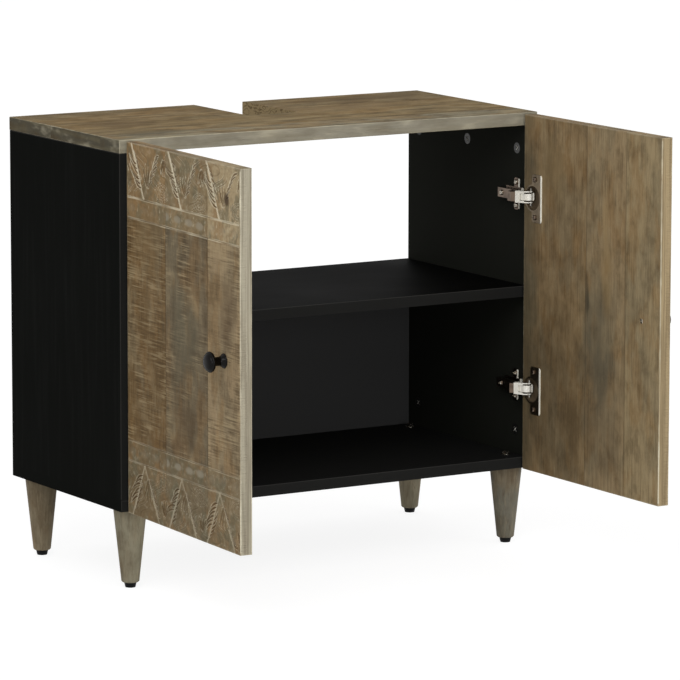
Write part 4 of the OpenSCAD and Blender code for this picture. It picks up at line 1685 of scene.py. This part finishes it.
@dataclass(frozen=True)
class Lamp:
    """One soft square lamp that looks at the cabinet: place and side in metres, power in watts."""

    name: str
    at: tuple[float, float, float]
    size: float
    power: float
    aim: tuple[float, float, float] = (0, 0, 0.3)

    def hang(self) -> None:
        """Adds the lamp."""
        data = bpy.data.lights.new(self.name, "AREA")
        data.shape = "SQUARE"
        data.size = self.size
        data.energy = self.power
        lamp = bpy.data.objects.new(self.name, data)
        lamp.location = self.at
        aim = Vector(self.aim) - Vector(self.at)
        lamp.rotation_euler = aim.to_track_quat("-Z", "Y").to_euler()
        bpy.context.scene.collection.objects.link(lamp)


@dataclass
class Studio:
    """A pale floor, a white background, soft lamps and the photograph's camera."""

    camera_at: tuple[float, float, float] = (-3.4121, -5.6428, 1.3696)
    camera_turn: tuple[float, float, float] = (80.888, -0.093, -31.185)
    lens: float = 264.12
    sensor: float = 36.0
    sight: float = 100.0
    sky: float = 0.62
    floor_half: float = 24.0
    floor_tone: Colour = (0.9, 0.9, 0.9)
    floor_glow: float = 0.72
    floor_white: float = 1.2
    white: Colour = (1.0, 1.0, 1.0)
    lamps: tuple[Lamp, ...] = (
        Lamp("key", (-2.6, -2.8, 3.0), 2.6, 62.0), Lamp("fill", (2.8, -3.2, 1.8), 2.6, 22.0),
        Lamp("front", (-0.8, -5.0, 0.8), 2.0, 44.0),
    )

    def build(self) -> None:
        """Makes the whole studio."""
        self._camera()
        self._floor()
        self._world()
        for lamp in self.lamps:
            lamp.hang()

    def _camera(self) -> None:
        """Adds the camera at the photograph's viewing angle."""
        data = bpy.data.cameras.new("photo_camera")
        data.sensor_width = self.sensor
        data.lens = self.lens
        data.clip_end = self.sight
        camera = bpy.data.objects.new("photo_camera", data)
        camera.location = self.camera_at
        camera.rotation_euler = Euler([math.radians(turn) for turn in self.camera_turn])
        bpy.context.scene.collection.objects.link(camera)
        bpy.context.scene.camera = camera

    def _floor(self) -> None:
        """Adds the pale floor, which is seen as white and keeps a soft shadow."""
        half = self.floor_half
        corners = [(-half, -half, 0), (half, -half, 0), (half, half, 0), (-half, half, 0)]
        floor = mesh_object("floor", corners, [(0, 1, 2, 3)], 30.0)
        recipe = Recipe.material("pale_floor")
        plain = recipe.node("ShaderNodeBsdfDiffuse", inputs={"Color": self.floor_tone})
        glow = {"Color": self.white, "Strength": self.floor_white}
        white = recipe.node("ShaderNodeEmission", inputs=glow)
        surface = recipe.whitened(plain, white, self.floor_glow)
        recipe.node("ShaderNodeOutputMaterial", inputs={"Surface": surface})
        wear_material(recipe.owner, floor)

    def _world(self) -> None:
        """Lights the object evenly, and is seen as white."""
        bpy.context.scene.world = bpy.data.worlds.new("white_studio")
        recipe = Recipe(bpy.context.scene.world)
        soft, white = (
            recipe.node("ShaderNodeBackground", inputs={"Color": self.white, "Strength": strength})
            for strength in (self.sky, 1.0)
        )
        surface = recipe.whitened(soft, white, 1.0)
        recipe.node("ShaderNodeOutputWorld", inputs={"Surface": surface})


def main() -> None:
    """Builds the studio and dresses the cabinet, piece by piece."""
    logging.basicConfig(level=logging.INFO, format="%(name)s: %(message)s")
    bpy.context.scene.view_settings.view_transform = "Standard"
    Studio().build()
    log.info("studio ready")
    Carcass().dress()
    log.info("carcass dressed")
    Hinges().dress()
    log.info("hinges dressed")
    carving = Carving()
    for side in Side:
        leaf = DoorLeaf(side, DOOR_SEAMS[side], DOOR_PATCHES[side], DOOR_EDGES[side])
        for piece in (leaf.build(DOOR_WOOD, carving), Knob(side).build(KNOB_BLACK)):
            log.info("%s: %d faces", piece.name, len(piece.data.polygons))


if __name__ == "__main__":
    main()
